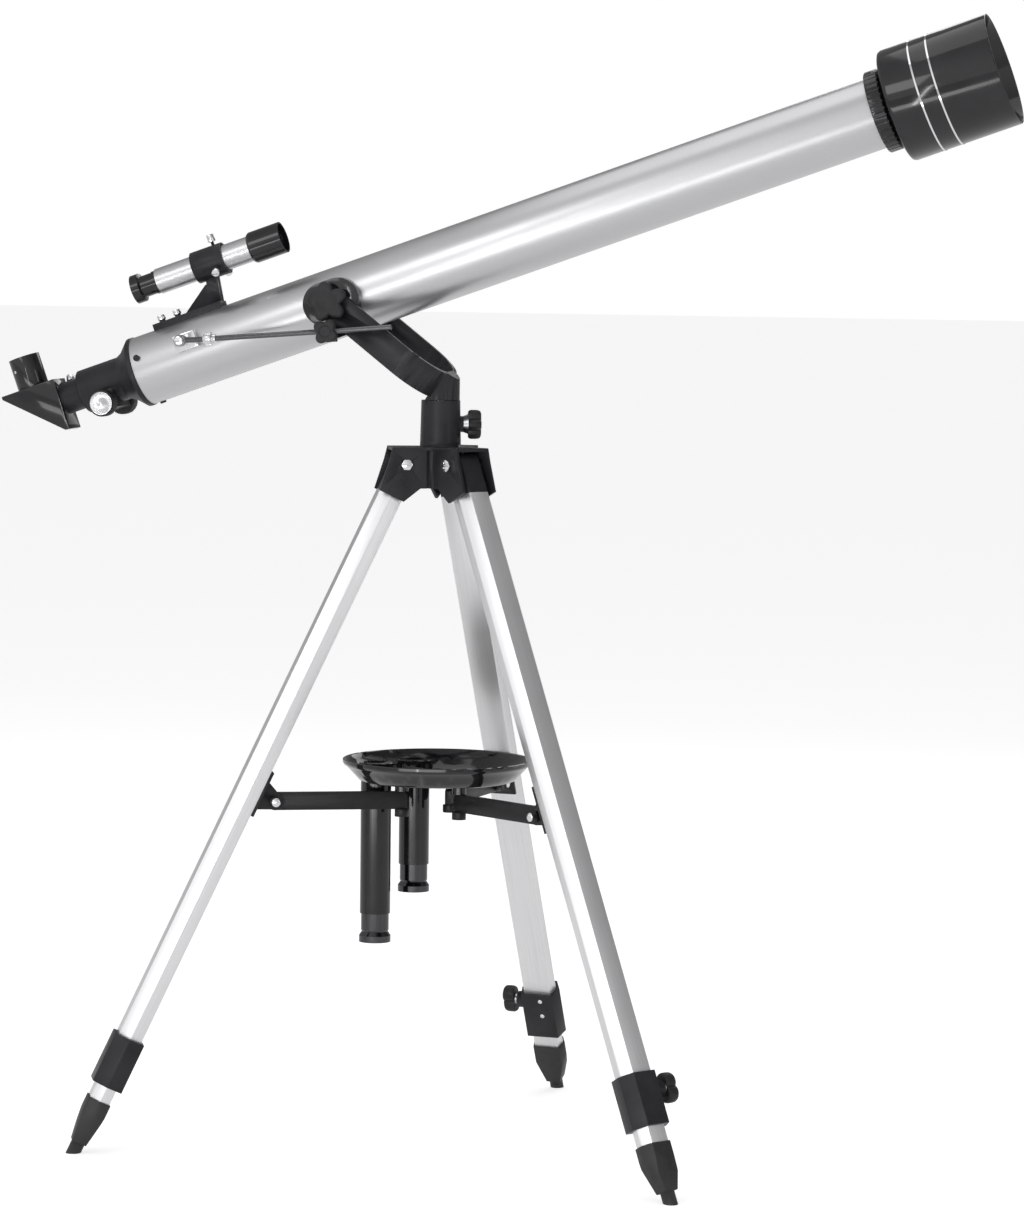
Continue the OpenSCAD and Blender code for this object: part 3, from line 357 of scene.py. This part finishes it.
# %% Copy a CAD part with rounded edges
def put(mesh, name, body, material=None):
    """Links a finished mesh as a piece that rides on a body."""
    if material is not None:
        mesh.materials.clear()
        mesh.materials.append(material)
    piece = bpy.data.objects.new(name, mesh)
    bpy.context.scene.collection.objects.link(piece)
    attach(piece, body)
    return piece


def smooth(mesh, angle=32):
    for polygon in mesh.polygons:
        polygon.use_smooth = True
    mesh.set_sharp_from_angle(angle=math.radians(angle))


def rounded(node, width, angle=38, segments=2, trim=None):
    bm = bmesh.new()
    bm.from_mesh(nodes[node].data)
    bmesh.ops.remove_doubles(bm, verts=bm.verts, dist=2e-6)
    if trim is not None:
        trim(bm)
    bmesh.ops.dissolve_limit(bm, angle_limit=math.radians(0.6), verts=bm.verts, edges=bm.edges)
    corner = [e for e in bm.edges if len(e.link_faces) == 2
              and e.calc_face_angle(0) > math.radians(angle) and e.is_convex]
    bmesh.ops.bevel(bm, geom=corner, offset=width, segments=segments, profile=0.5,
                    affect="EDGES", clamp_overlap=True)
    bmesh.ops.triangulate(bm, faces=[f for f in bm.faces if len(f.verts) > 4])
    mesh = bpy.data.meshes.new(node + "_shape")
    bm.to_mesh(mesh)
    bm.free()
    smooth(mesh)
    piece = put(mesh, node + "_part", body_of_node[node], finish_of(node))
    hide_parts(node)
    return piece


# %% [markdown]
# ## The fork's foot
# The round block under the fork's bend carries the band on its spindle. On the real fork
# the band's end hides its top, so a bisect cuts it level with the band's upper edge, and
# the hole is filled before the corners are rounded.

# %% Cut the fork's foot block level with the band's upper edge
BAND_HALF, BLOCK_BACK = 13.55 * MM, -4 * MM
FORK_FOOT = Vector((STAND.x, STAND.y, 0.714))
ARM = (PIVOT - FORK_FOOT).normalized()
OVER_BAND = Vector((ARM.z, 0, -ARM.x))


def level_block(bm):
    """Takes off what stands above the band behind its bend."""
    near = [f for f in bm.faces if max(v.co.x for v in f.verts) - STAND.x > BLOCK_BACK
            and max((v.co - FORK_FOOT).dot(ARM) for v in f.verts) < 1 * MM]
    parts = {*near, *(e for f in near for e in f.edges), *(v for f in near for v in f.verts)}
    bmesh.ops.bisect_plane(bm, geom=list(parts), plane_co=FORK_FOOT + OVER_BAND * BAND_HALF,
                           plane_no=OVER_BAND, clear_outer=True)
    bmesh.ops.holes_fill(bm, edges=[e for e in bm.edges if e.is_boundary], sides=0)
    print("fork block cut,", sum(e.is_boundary for e in bm.edges), "edges left open")


# %% Round the parts that keep their CAD shape
EDGE = {"finder_screws": 0.35, "fine_adjust_nut": 0.3, "leg_pivot_bolts": 0.4,
        "drawtube_screw": 0.4, "objective_cell": 0.2, "drawtube": 0.3, "tripod_head": 0.9,
        "fork": 0.8, "tray": 0.4, "diagonal_housing": 0.8, "finder_bracket": 0.7,
        "rod_clamp": 0.6, "focuser_body": 0.5, "eyepiece_barrel": 0.5, "pivot_pads": 1.6,
        "rod_bracket": 0.7, "altitude_rod": 0.5, "dew_shield": 0.25}
for leg in "abc":
    EDGE[f"leg_mouldings_{leg}"] = 0.9
    EDGE[f"brace_bracket_{leg}"] = 0.5
    EDGE[f"brace_arm_{leg}"] = 0.5
    EDGE[f"outer_leg_{leg}"] = 0.35
    EDGE[f"inner_leg_{leg}"] = 0.3
    EDGE[f"foot_{leg}"] = 0.9
for node, width in EDGE.items():
    rounded(node, width * MM, trim=level_block if node == "fork" else None)
print("rounded", len(EDGE), "parts")

# %% [markdown]
# ## Parts that differ from their slot
# The spare eyepieces have dark chromed ends, so they get a smoked version of the chrome.
# The fine altitude rod is plain steel painted darker than the turned parts, a painted shade for the shadow it lies
# in.

# %% Finish what the rounding left
for node, piece in nodes.items():
    piece.data.materials.clear()
    smoked = node in ("erecting_eyepiece", "barlow_eyepiece")
    piece.data.materials.append(SMOKED if smoked else finish_of(node))
# the rod gets the dark steel, a painted shade for its shadow
rod_mesh = bpy.data.objects["altitude_rod_part"].data
rod_mesh.materials.clear()
rod_mesh.materials.append(ROD)
# the rod's darkness named in this text is painted shade
print("smoked ends, shade-darkened rod and plain parts finished")

# %% [markdown]
# ## Lobed knobs
# Each clamp knob is a moulded star: a round body whose rim swells into broad lobes. A cosine
# gives the lobes, a flattened power makes their tops broad, and a dome rounds the face.
# The knob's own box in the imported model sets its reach, so it never outgrows its part.

# %% Rings of points, and the faces between them
def add_ring(bm, radius_at, height, around):
    """A closed ring whose radius is a function of its angle."""
    angles = [2 * math.pi * i / around for i in range(around)]
    return [bm.verts.new((radius_at(a) * math.cos(a), radius_at(a) * math.sin(a), height))
            for a in angles]


def join_rings(bm, rings):
    for one, two in zip(rings, rings[1:]):
        for i in range(len(one)):
            k = (i + 1) % len(one)
            bm.faces.new((one[i], one[k], two[k], two[i]))


# %% A star knob from a rule
# Where along the knob its outline swells and falls, as (share of depth, share of radius)
KNOB_OUTLINE = [(0.0, 0.90), (0.10, 0.97), (0.22, 1.0), (0.62, 1.0),
                (0.8, 0.975), (0.9, 0.93), (0.96, 0.86), (1.0, 0.76)]
LOBE_BREADTH = 0.62
DIMPLE = [(0.75, 0.0), (0.625, 0.12)]


def off_axis(point, origin, axis):
    return (point - origin - axis * (point - origin).dot(axis)).length


def star_knob(node, joint, lobes, waist, around=180):
    """Replaces a CAD knob: waist is the hollow's radius as a share of the lobe's."""
    axis = joint_axis(joint)
    origin = joint_place(joint)
    _, _, radius = reach(node, origin, axis)
    widest = [v.co for v in nodes[node].data.vertices
              if off_axis(v.co, origin, axis) > radius * 0.97]
    stations = [(v - origin).dot(axis) for v in widest]
    body_low, body_high = min(stations), max(stations)
    if abs(body_low) > abs(body_high):
        axis, body_low, body_high = -axis, -body_high, -body_low
    hint = max(widest, key=lambda v: off_axis(v, origin, axis)) - origin
    place = frame_along(origin, axis, hint)
    depth = body_high - body_low

    def lobed(share):
        def radius_at(a):
            wave = (0.5 + 0.5 * math.cos(lobes * a)) ** LOBE_BREADTH
            return radius * (waist + (1 - waist) * wave) * share
        return radius_at

    bm = bmesh.new()
    rings = [add_ring(bm, lobed(share), body_low + depth * height, around)
             for height, share in KNOB_OUTLINE]
    rings += [add_ring(bm, lambda a, r=radius * waist * share: r, body_high - depth * sink, around)
              for share, sink in DIMPLE]
    join_rings(bm, rings)
    bm.faces.new(list(reversed(rings[0])))
    bm.faces.new(rings[-1])
    bmesh.ops.recalc_face_normals(bm, faces=bm.faces)
    knob_mesh = bpy.data.meshes.new(node + "_star")
    bmesh.ops.transform(bm, matrix=place, verts=bm.verts)
    bm.to_mesh(knob_mesh)
    bm.free()
    smooth(knob_mesh, 40)
    star = put(knob_mesh, node + "_star", body_of_node[node], finish_of(node))
    knob_shank(node, place, body_low, radius * waist * 0.96)
    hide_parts(node)


def knob_shank(node, place, high, widest):
    """The screw below a knob, copied from the CAD part's own points near the axis."""
    inverse = place.inverted()
    near = [inverse @ v.co for v in nodes[node].data.vertices]
    near = [v for v in near if v.z < high + 1e-4]
    outline = []
    for z in sorted({round(v.z, 5) for v in near}):
        rim = [math.hypot(v.x, v.y) for v in near if abs(v.z - z) < 2e-5]
        outline.append((min(max(rim), widest), z))
    if len(outline) > 1:
        turned_piece(node + "_shank", outline, place, body_of_node[node],
                     FINISH["turned_steel"])


# %% A turned piece from an outline of (radius, height) points
def turned_piece(name, outline, place, body, material, around=64, closed_ends=True):
    bm = bmesh.new()
    rings = [add_ring(bm, lambda a, r=r: r, z, around) for r, z in outline]
    join_rings(bm, rings)
    if closed_ends:
        bm.faces.new(list(reversed(rings[0])))
        bm.faces.new(rings[-1])
    bmesh.ops.remove_doubles(bm, verts=bm.verts, dist=1e-7)
    bmesh.ops.recalc_face_normals(bm, faces=bm.faces)
    bmesh.ops.transform(bm, matrix=place, verts=bm.verts)
    mesh = bpy.data.meshes.new(name)
    bm.to_mesh(mesh)
    bm.free()
    smooth(mesh)
    return put(mesh, name, body, material)


# %% Put a star on every clamp screw
star_knob("altitude_knob_near", "altitude_clamp_near_turn", 5, 0.66)
star_knob("altitude_knob_far", "altitude_clamp_far_turn", 5, 0.66)
star_knob("rod_clamp_knob", "rod_clamp_screw_turn", 4, 0.64)
star_knob("azimuth_knob", "azimuth_clamp_turn", 5, 0.68)
for leg in "abc":
    star_knob(f"leg_knob_{leg}", f"leg_{leg}_clamp_turn", 2, 0.42)
print("knobs", 7)

# %% [markdown]
# ## Geometry Nodes for what repeats
# Knurls, rivets and screws are the same small shape many times over. A node tree places the
# shape on points and turns it outward. Realize Instances makes it real mesh, Set Material
# gives it its finish, and the result is copied to a plain mesh with the modifier gone.

# %% Helpers that build and run a node tree
def new_tree(name, inputs):
    tree = bpy.data.node_groups.new(name, "GeometryNodeTree")
    tree.interface.new_socket("Geometry", in_out="OUTPUT", socket_type="NodeSocketGeometry")
    tree.interface.new_socket("Geometry", in_out="INPUT", socket_type="NodeSocketGeometry")
    for label, kind in inputs:
        tree.interface.new_socket(label, in_out="INPUT", socket_type=kind)
    return tree, tree.nodes.new("NodeGroupInput"), tree.nodes.new("NodeGroupOutput")


def finish_tree(tree, given, end, geometry):
    real = tree.nodes.new("GeometryNodeRealizeInstances")
    paint_on = tree.nodes.new("GeometryNodeSetMaterial")
    tree.links.new(geometry, real.inputs[0])
    tree.links.new(real.outputs[0], paint_on.inputs["Geometry"])
    tree.links.new(given.outputs["Material"], paint_on.inputs["Material"])
    tree.links.new(paint_on.outputs[0], end.inputs[0])


def run_tree(tree, seed_mesh, values):
    holder = bpy.data.objects.new("holder", seed_mesh)
    bpy.context.scene.collection.objects.link(holder)
    modifier = holder.modifiers.new("nodes", "NODES")
    modifier.node_group = tree
    for item in tree.interface.items_tree:
        if item.in_out == "INPUT" and item.name in values:
            modifier[item.identifier] = values[item.name]
    graph = bpy.context.evaluated_depsgraph_get()
    graph.update()
    made = bpy.data.meshes.new_from_object(holder.evaluated_get(graph), depsgraph=graph)
    holder.modifiers.clear()
    bpy.data.objects.remove(holder)
    return made


# %% A tree for a ring of ridges, as on a knurled grip
def ridge_tree():
    tree, given, end = new_tree("ridge_ring", [
        ("Count", "NodeSocketInt"), ("Ring Radius", "NodeSocketFloat"),
        ("Ridge Radius", "NodeSocketFloat"), ("Length", "NodeSocketFloat"),
        ("Material", "NodeSocketMaterial")])
    ring = tree.nodes.new("GeometryNodeMeshCircle")
    ridge = tree.nodes.new("GeometryNodeMeshCylinder")
    ridge.inputs["Vertices"].default_value = 6
    place = tree.nodes.new("GeometryNodeInstanceOnPoints")
    tree.links.new(given.outputs["Count"], ring.inputs["Vertices"])
    tree.links.new(given.outputs["Ring Radius"], ring.inputs["Radius"])
    tree.links.new(given.outputs["Ridge Radius"], ridge.inputs["Radius"])
    tree.links.new(given.outputs["Length"], ridge.inputs["Depth"])
    tree.links.new(ring.outputs["Mesh"], place.inputs["Points"])
    tree.links.new(ridge.outputs["Mesh"], place.inputs["Instance"])
    finish_tree(tree, given, end, place.outputs["Instances"])
    return tree


RIDGES = ridge_tree()


def add_ridges(name, body, material, place, count, radius, ridge, length, height):
    made = run_tree(RIDGES, bpy.data.meshes.new("seed"), {
        "Count": count, "Ring Radius": radius, "Ridge Radius": ridge, "Length": length,
        "Material": material})
    made.transform(place @ Matrix.Translation((0, 0, height)))
    made.name = name
    smooth(made, 25)
    return put(made, name, body)


# %% A tree for domed heads on points that carry a facing direction
def head_tree():
    tree, given, end = new_tree("heads", [
        ("Head Radius", "NodeSocketFloat"), ("Head Height", "NodeSocketFloat"),
        ("Material", "NodeSocketMaterial")])
    dome = tree.nodes.new("GeometryNodeMeshUVSphere")
    dome.inputs["Segments"].default_value = 24
    dome.inputs["Rings"].default_value = 12
    shape = tree.nodes.new("GeometryNodeTransform")
    size = tree.nodes.new("ShaderNodeCombineXYZ")
    facing = tree.nodes.new("GeometryNodeInputNamedAttribute")
    facing.data_type = "FLOAT_VECTOR"
    facing.inputs["Name"].default_value = "facing"
    turn_to = tree.nodes.new("FunctionNodeAlignRotationToVector")
    turn_to.axis = "Z"
    place = tree.nodes.new("GeometryNodeInstanceOnPoints")
    for axis in ("X", "Y"):
        tree.links.new(given.outputs["Head Radius"], size.inputs[axis])
    tree.links.new(given.outputs["Head Height"], size.inputs["Z"])
    tree.links.new(dome.outputs["Mesh"], shape.inputs["Geometry"])
    tree.links.new(size.outputs["Vector"], shape.inputs["Scale"])
    tree.links.new(facing.outputs["Attribute"], turn_to.inputs["Vector"])
    tree.links.new(given.outputs["Geometry"], place.inputs["Points"])
    tree.links.new(shape.outputs["Geometry"], place.inputs["Instance"])
    tree.links.new(turn_to.outputs["Rotation"], place.inputs["Rotation"])
    finish_tree(tree, given, end, place.outputs["Instances"])
    return tree


HEADS = head_tree()


def add_heads(name, body, material, spots, radius, height):
    """Domed heads: spots is a list of (place, facing)."""
    seed = bpy.data.meshes.new("seed")
    seed.from_pydata([tuple(spot) for spot, _ in spots], [], [])
    field = seed.attributes.new("facing", "FLOAT_VECTOR", "POINT")
    for k, (_, facing) in enumerate(spots):
        field.data[k].vector = facing
    made = run_tree(HEADS, seed, {"Head Radius": radius, "Head Height": height, "Material": material})
    made.name = name
    smooth(made, 60)
    return put(made, name, body)


# %% [markdown]
# ## The main tube
# The tube is a plain rolled cylinder with softened rims. One rule makes it: a thin rounded
# rectangle, the wall's section, is carried round a circle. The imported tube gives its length,
# its radius and its wall.

# %% Sweep the wall's section round a circle
def tube_tree():
    tree, given, end = new_tree("rolled_tube", [
        ("Radius", "NodeSocketFloat"), ("Wall", "NodeSocketFloat"), ("Length", "NodeSocketFloat"),
        ("Material", "NodeSocketMaterial")])
    path = tree.nodes.new("GeometryNodeCurvePrimitiveCircle")
    path.inputs["Resolution"].default_value = 192
    section = tree.nodes.new("GeometryNodeCurvePrimitiveQuadrilateral")
    fillet = tree.nodes.new("GeometryNodeFilletCurve")
    fillet.mode = "POLY"
    fillet.inputs["Count"].default_value = 3
    soft = tree.nodes.new("ShaderNodeMath")
    soft.operation = "MULTIPLY"
    soft.inputs[1].default_value = 0.4
    middle = tree.nodes.new("ShaderNodeMath")
    middle.operation = "SUBTRACT"
    half = tree.nodes.new("ShaderNodeMath")
    half.operation = "MULTIPLY"
    half.inputs[1].default_value = 0.5
    sweep = tree.nodes.new("GeometryNodeCurveToMesh")
    tree.links.new(given.outputs["Wall"], half.inputs[0])
    tree.links.new(given.outputs["Radius"], middle.inputs[0])
    tree.links.new(half.outputs[0], middle.inputs[1])
    tree.links.new(middle.outputs[0], path.inputs["Radius"])
    tree.links.new(given.outputs["Wall"], section.inputs["Width"])
    tree.links.new(given.outputs["Length"], section.inputs["Height"])
    tree.links.new(given.outputs["Wall"], soft.inputs[0])
    tree.links.new(section.outputs["Curve"], fillet.inputs["Curve"])
    tree.links.new(soft.outputs[0], fillet.inputs["Radius"])
    tree.links.new(path.outputs["Curve"], sweep.inputs["Curve"])
    tree.links.new(fillet.outputs["Curve"], sweep.inputs["Profile Curve"])
    finish_tree(tree, given, end, sweep.outputs["Mesh"])
    return tree


tube_low, tube_high, tube_radius = reach("main_tube", PIVOT, OPTICAL)
tube_wall = tube_radius - min(off_axis(v.co, PIVOT, OPTICAL)
                              for v in nodes["main_tube"].data.vertices)
shell = run_tree(tube_tree(), bpy.data.meshes.new("seed"), {
    "Radius": tube_radius, "Wall": tube_wall, "Length": tube_high - tube_low,
    "Material": FINISH["silver_tube"]})
print("tube radius, wall, length", tube_radius, tube_wall, tube_high - tube_low)
shell.transform(TUBE @ Matrix.Translation((0, 0, (tube_high + tube_low) / 2)))
shell_bm = bmesh.new()
shell_bm.from_mesh(shell)
bmesh.ops.remove_doubles(shell_bm, verts=shell_bm.verts, dist=1e-7)
bmesh.ops.recalc_face_normals(shell_bm, faces=shell_bm.faces)
shell_bm.to_mesh(shell)
shell_bm.free()
smooth(shell, 30)
shell = put(shell, "main_tube_shell", "tube")
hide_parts("main_tube")

# %% [markdown]
# ## Focusing knobs
# Each focusing knob is a grooved black wheel with a bright spun metal cap. The cap's fine
# rings spread the lamps into a cross, which an anisotropic shader shows.

# %% Wheels, ridges and caps
focus_at = joint_place("focus_turn")
across_tube = Vector((0, 1, 0))
_, high, wheel_r = reach("focus_knobs", focus_at, across_tube)
_, _, cap_r = reach("focus_knob_caps", focus_at, across_tube)
wheel_in = min(abs((v.co - focus_at).y) for v in nodes["focus_knobs"].data.vertices)
wheels = []
for sign, label in ((-1, "near"), (1, "far")):
    place = frame_along(focus_at, across_tube * sign, Vector((1, 0, 0)))
    body = body_of_node["focus_knobs"]
    outline = [(2 * MM, wheel_in), (wheel_r * 0.86, wheel_in), (wheel_r * 0.95, wheel_in + 0.8 * MM),
               (wheel_r * 0.95, high - 0.9 * MM), (wheel_r * 0.9, high), (cap_r, high),
               (cap_r, high - 1.4 * MM), (0.001 * MM, high - 1.4 * MM)]
    wheel = turned_piece(f"focus_wheel_{label}", outline, place, body,
                         FINISH["knob_plastic"], 96)
    ridges = add_ridges(f"focus_ridges_{label}", body, FINISH["knob_plastic"],
                        place, 48, wheel_r * 0.95, wheel_r * 0.05, high - wheel_in - 2 * MM,
                        (high + wheel_in) / 2)
    dish = [(0.001 * MM, high - 1.0 * MM), (cap_r * 0.12, high - 1.0 * MM),
            (cap_r * 0.2, high - 0.5 * MM), (cap_r * 0.9, high + 0.1 * MM),
            (cap_r * 0.97, high), (cap_r * 0.985, high - 1.3 * MM)]
    cap = turned_piece(f"focus_cap_{label}", list(reversed(dish)), place,
                       body_of_node["focus_knob_caps"], SPUN, 96, closed_ends=False)
    wheels += [wheel, ridges, cap]
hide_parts("focus_knobs")
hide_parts("focus_knob_caps")
print("focusing wheels, ridges and caps", len(wheels))

# %% Knurls on the fine adjustment nut
nut_axis = joint_axis("fine_nut_turn")
nut_at = joint_place("fine_nut_turn")
nut_low, nut_high, nut_r = reach("fine_adjust_nut", nut_at, nut_axis)
add_ridges("fine_nut_ridges", body_of_node["fine_adjust_nut"],
           FINISH["chrome"], frame_along(nut_at, nut_axis), 30, nut_r * 0.985, nut_r * 0.07,
           5.2 * MM, nut_low + (nut_high - nut_low) * 0.417)

# %% Bright heads on the brace pins
for leg in "abc":
    pin = joint_place(f"brace_{leg}_swing")
    along = joint_axis(f"brace_{leg}_swing")
    low, high, _ = reach(f"brace_bracket_{leg}", pin, along)
    add_heads(f"brace_heads_{leg}", body_of_node[f"brace_bracket_{leg}"],
              FINISH["chrome"], [(pin + along * high, along), (pin + along * low, -along)],
              4.2 * MM, 1.3 * MM)

# %% Rivets on the inner face of each leg clamp
for leg in "abc":
    hinge, clamp = joint_place(f"leg_{leg}_fold"), joint_place(f"leg_{leg}_clamp_turn")
    down = joint_axis(f"leg_{leg}_extend")
    down = -down if down.z > 0 else down
    outward = Vector((hinge.x - STAND.x, hinge.y - STAND.y, 0)).normalized()
    inner = -(outward - down * outward.dot(down)).normalized()
    middle = hinge + down * (clamp - hinge).dot(down)
    near = [v.co for v in nodes[f"leg_mouldings_{leg}"].data.vertices
            if abs((v.co - middle).dot(down)) < 40 * MM]
    face = max((v - middle).dot(inner) for v in near)
    on_face = middle + inner * (face - 0.1 * MM) + inner.cross(down) * 3 * MM
    spots = [(on_face + down * step * MM, inner) for step in (-8, 9)]
    add_heads(f"clamp_rivets_{leg}", body_of_node[f"leg_mouldings_{leg}"],
              FINISH["chrome"], spots, 2.3 * MM, 0.9 * MM)

# %% A small set screw on the eyepiece barrel
barrel_at = centre("eyepiece_barrel")
_, _, barrel_r = reach("eyepiece_barrel", barrel_at, UP_TUBE)
barrel_face = (Vector((0, -0.8, 0)) - OPTICAL * 0.6).normalized()
add_heads("barrel_screw", body_of_node["eyepiece_barrel"], FINISH["chrome"],
          [(barrel_at + UP_TUBE * 3 * MM + barrel_face * (barrel_r - 0.6 * MM), barrel_face)],
          1.9 * MM, 0.9 * MM)


# %% The finder's front glass
def lens_disc(name, node, station, radius, bulge):
    offset = centre(node) - PIVOT
    middle = PIVOT + offset.dot(OPTICAL) * OPTICAL + offset.dot(UP_TUBE) * UP_TUBE
    place = frame_along(middle + OPTICAL * station, OPTICAL, UP_TUBE)
    steps = 8
    outline = [(radius * k / steps + 1e-6, bulge * (1 - (k / steps) ** 2)) for k in range(steps + 1)]
    outline = [(r, -z - 1 * MM) for r, z in outline] + [(r, z) for r, z in reversed(outline)]
    return turned_piece(name, outline, place, body_of_node[node],
                        FINISH["optical_glass"], 48)


_, cell_high, _ = reach("finder_objective_cell", centre("finder_objective_cell"), OPTICAL)
lens_disc("finder_front_glass", "finder_objective_cell", cell_high - 7 * MM, 11 * MM, 0.8 * MM)
print("nut knurls, pin heads, rivets, set screw and finder glass made")

# %% [markdown]
# ## Stage, lamps and camera
# The floor is a plain pale sheet under a white sky, so the object stands in a bright room.
# Large soft lamps give the tube its long bright band, and small ones give the black parts
# their glints. The camera looks slightly down, from a little to the front of the side.

# %% Floor
floor_mesh = bpy.data.meshes.new("floor")
floor_bm = bmesh.new()
bmesh.ops.create_grid(floor_bm, x_segments=1, y_segments=1, size=40)
floor_bm.to_mesh(floor_mesh)
floor_bm.free()
floor = bpy.data.objects.new("floor", floor_mesh)
scene = bpy.context.scene
scene.collection.objects.link(floor)
floor_mat, floor_tree, floor_shader = new_finish("floor_paper", (0.8, 0.8, 0.8), 0.0, 0.9)
floor_shader.inputs["Specular IOR Level"].default_value = 0.05
floor_shader.inputs["Emission Color"].default_value = (1, 1, 1, 1)
seen = floor_tree.nodes.new("ShaderNodeLightPath")
glow = floor_tree.nodes.new("ShaderNodeMath")
glow.operation = "MULTIPLY_ADD"
glow.inputs[1].default_value = 0.34
glow.inputs[2].default_value = 0.26
floor_tree.links.new(seen.outputs["Is Camera Ray"], glow.inputs[0])
floor_tree.links.new(glow.outputs[0], floor_shader.inputs["Emission Strength"])
floor_mesh.materials.append(floor_mat)

# %% Sky: white to look at, with a dim roof and a bright front for the metal to mirror
scene.view_settings.view_transform = "Standard"
world = bpy.data.worlds.new("studio")
world.use_nodes = True
sky = world.node_tree
back = sky.nodes["Background"]
ways = sky.nodes.new("ShaderNodeTexCoord")
front = sky.nodes.new("ShaderNodeVectorMath")
front.operation = "DOT_PRODUCT"
front.inputs[1].default_value = (-0.45, -0.85, -0.45)
sky.links.new(ways.outputs["Generated"], front.inputs[0])
room = sky.nodes.new("ShaderNodeValToRGB")
shades = [(0.0, 0.16), (0.35, 0.34), (0.62, 0.62), (0.85, 0.95), (1.0, 1.0)]
for k, (place, shade) in enumerate(shades):
    stop = room.color_ramp.elements[0] if k == 0 else room.color_ramp.elements.new(place)
    stop.position = place
    stop.color = (shade, shade, shade * 1.005, 1)
centred = sky.nodes.new("ShaderNodeMapRange")
centred.inputs["From Min"].default_value = -1
centred.inputs["From Max"].default_value = 1
sky.links.new(front.outputs["Value"], centred.inputs["Value"])
sky.links.new(centred.outputs["Result"], room.inputs["Fac"])
rays = sky.nodes.new("ShaderNodeLightPath")
choose = sky.nodes.new("ShaderNodeMix")
choose.data_type = "RGBA"
choose.inputs["B"].default_value = (1, 1, 1, 1)
sky.links.new(rays.outputs["Is Camera Ray"], choose.inputs["Factor"])
sky.links.new(room.outputs["Color"], choose.inputs["A"])
sky.links.new(choose.outputs["Result"], back.inputs["Color"])
scene.world = world


# %% Lamps
def lamp(name, place, aim, size, power):
    data = bpy.data.lights.new(name, "AREA")
    data.shape = "RECTANGLE"
    data.size, data.size_y = size
    data.energy = power
    obj = bpy.data.objects.new(name, data)
    obj.location = place
    obj.rotation_euler = (Vector(aim) - Vector(place)).to_track_quat("-Z", "Y").to_euler()
    scene.collection.objects.link(obj)


lamp("key", (-1.3, -2.4, 1.9), (0, 0, 0.7), (1.0, 0.8), 6)
lamp("low_front", (-0.2, -2.5, 0.12), (0, 0, 0.9), (2.6, 0.35), 10)
lamp("streak", (-0.46, -2.6, 0.5), (-0.06, 0, 0.4), (0.07, 1.5), 4.5)
lamp("side", (2.6, -1.4, 1.2), (0, 0, 0.6), (0.4, 1.6), 4)
lamp("overhead", (0, 0.3, 3.4), (0, 0, 0), (3.0, 3.0), 26)
lamp("back", (0.5, 2.6, 2.0), (0, 0, 0.6), (2.0, 1.0), 10)

# %% Camera
AZIMUTH, ELEVATION, ROLL = math.radians(13.6), math.radians(4.6), math.radians(0.64)
DISTANCE, LENS, SENSOR = 4.5, 142.8, 36
across = Vector((math.cos(AZIMUTH), math.sin(AZIMUTH), 0))
out = Vector((math.sin(AZIMUTH) * math.cos(ELEVATION), -math.cos(AZIMUTH) * math.cos(ELEVATION),
              math.sin(ELEVATION)))
aim = Vector((STAND.x, STAND.y, 0)) + across * 0.068 + Vector((0, 0, 0.503))
lens = bpy.data.cameras.new("camera")
lens.sensor_fit = "VERTICAL"
lens.sensor_height = SENSOR
lens.lens = LENS
camera = bpy.data.objects.new("camera", lens)
turn = (-out).to_track_quat("-Z", "Y") @ Matrix.Rotation(ROLL, 4, "Z").to_quaternion()
camera.rotation_euler = turn.to_euler()
camera.location = aim + out * DISTANCE
scene.collection.objects.link(camera)
scene.camera = camera

# %% Update the scene and finish
bpy.context.view_layer.update()
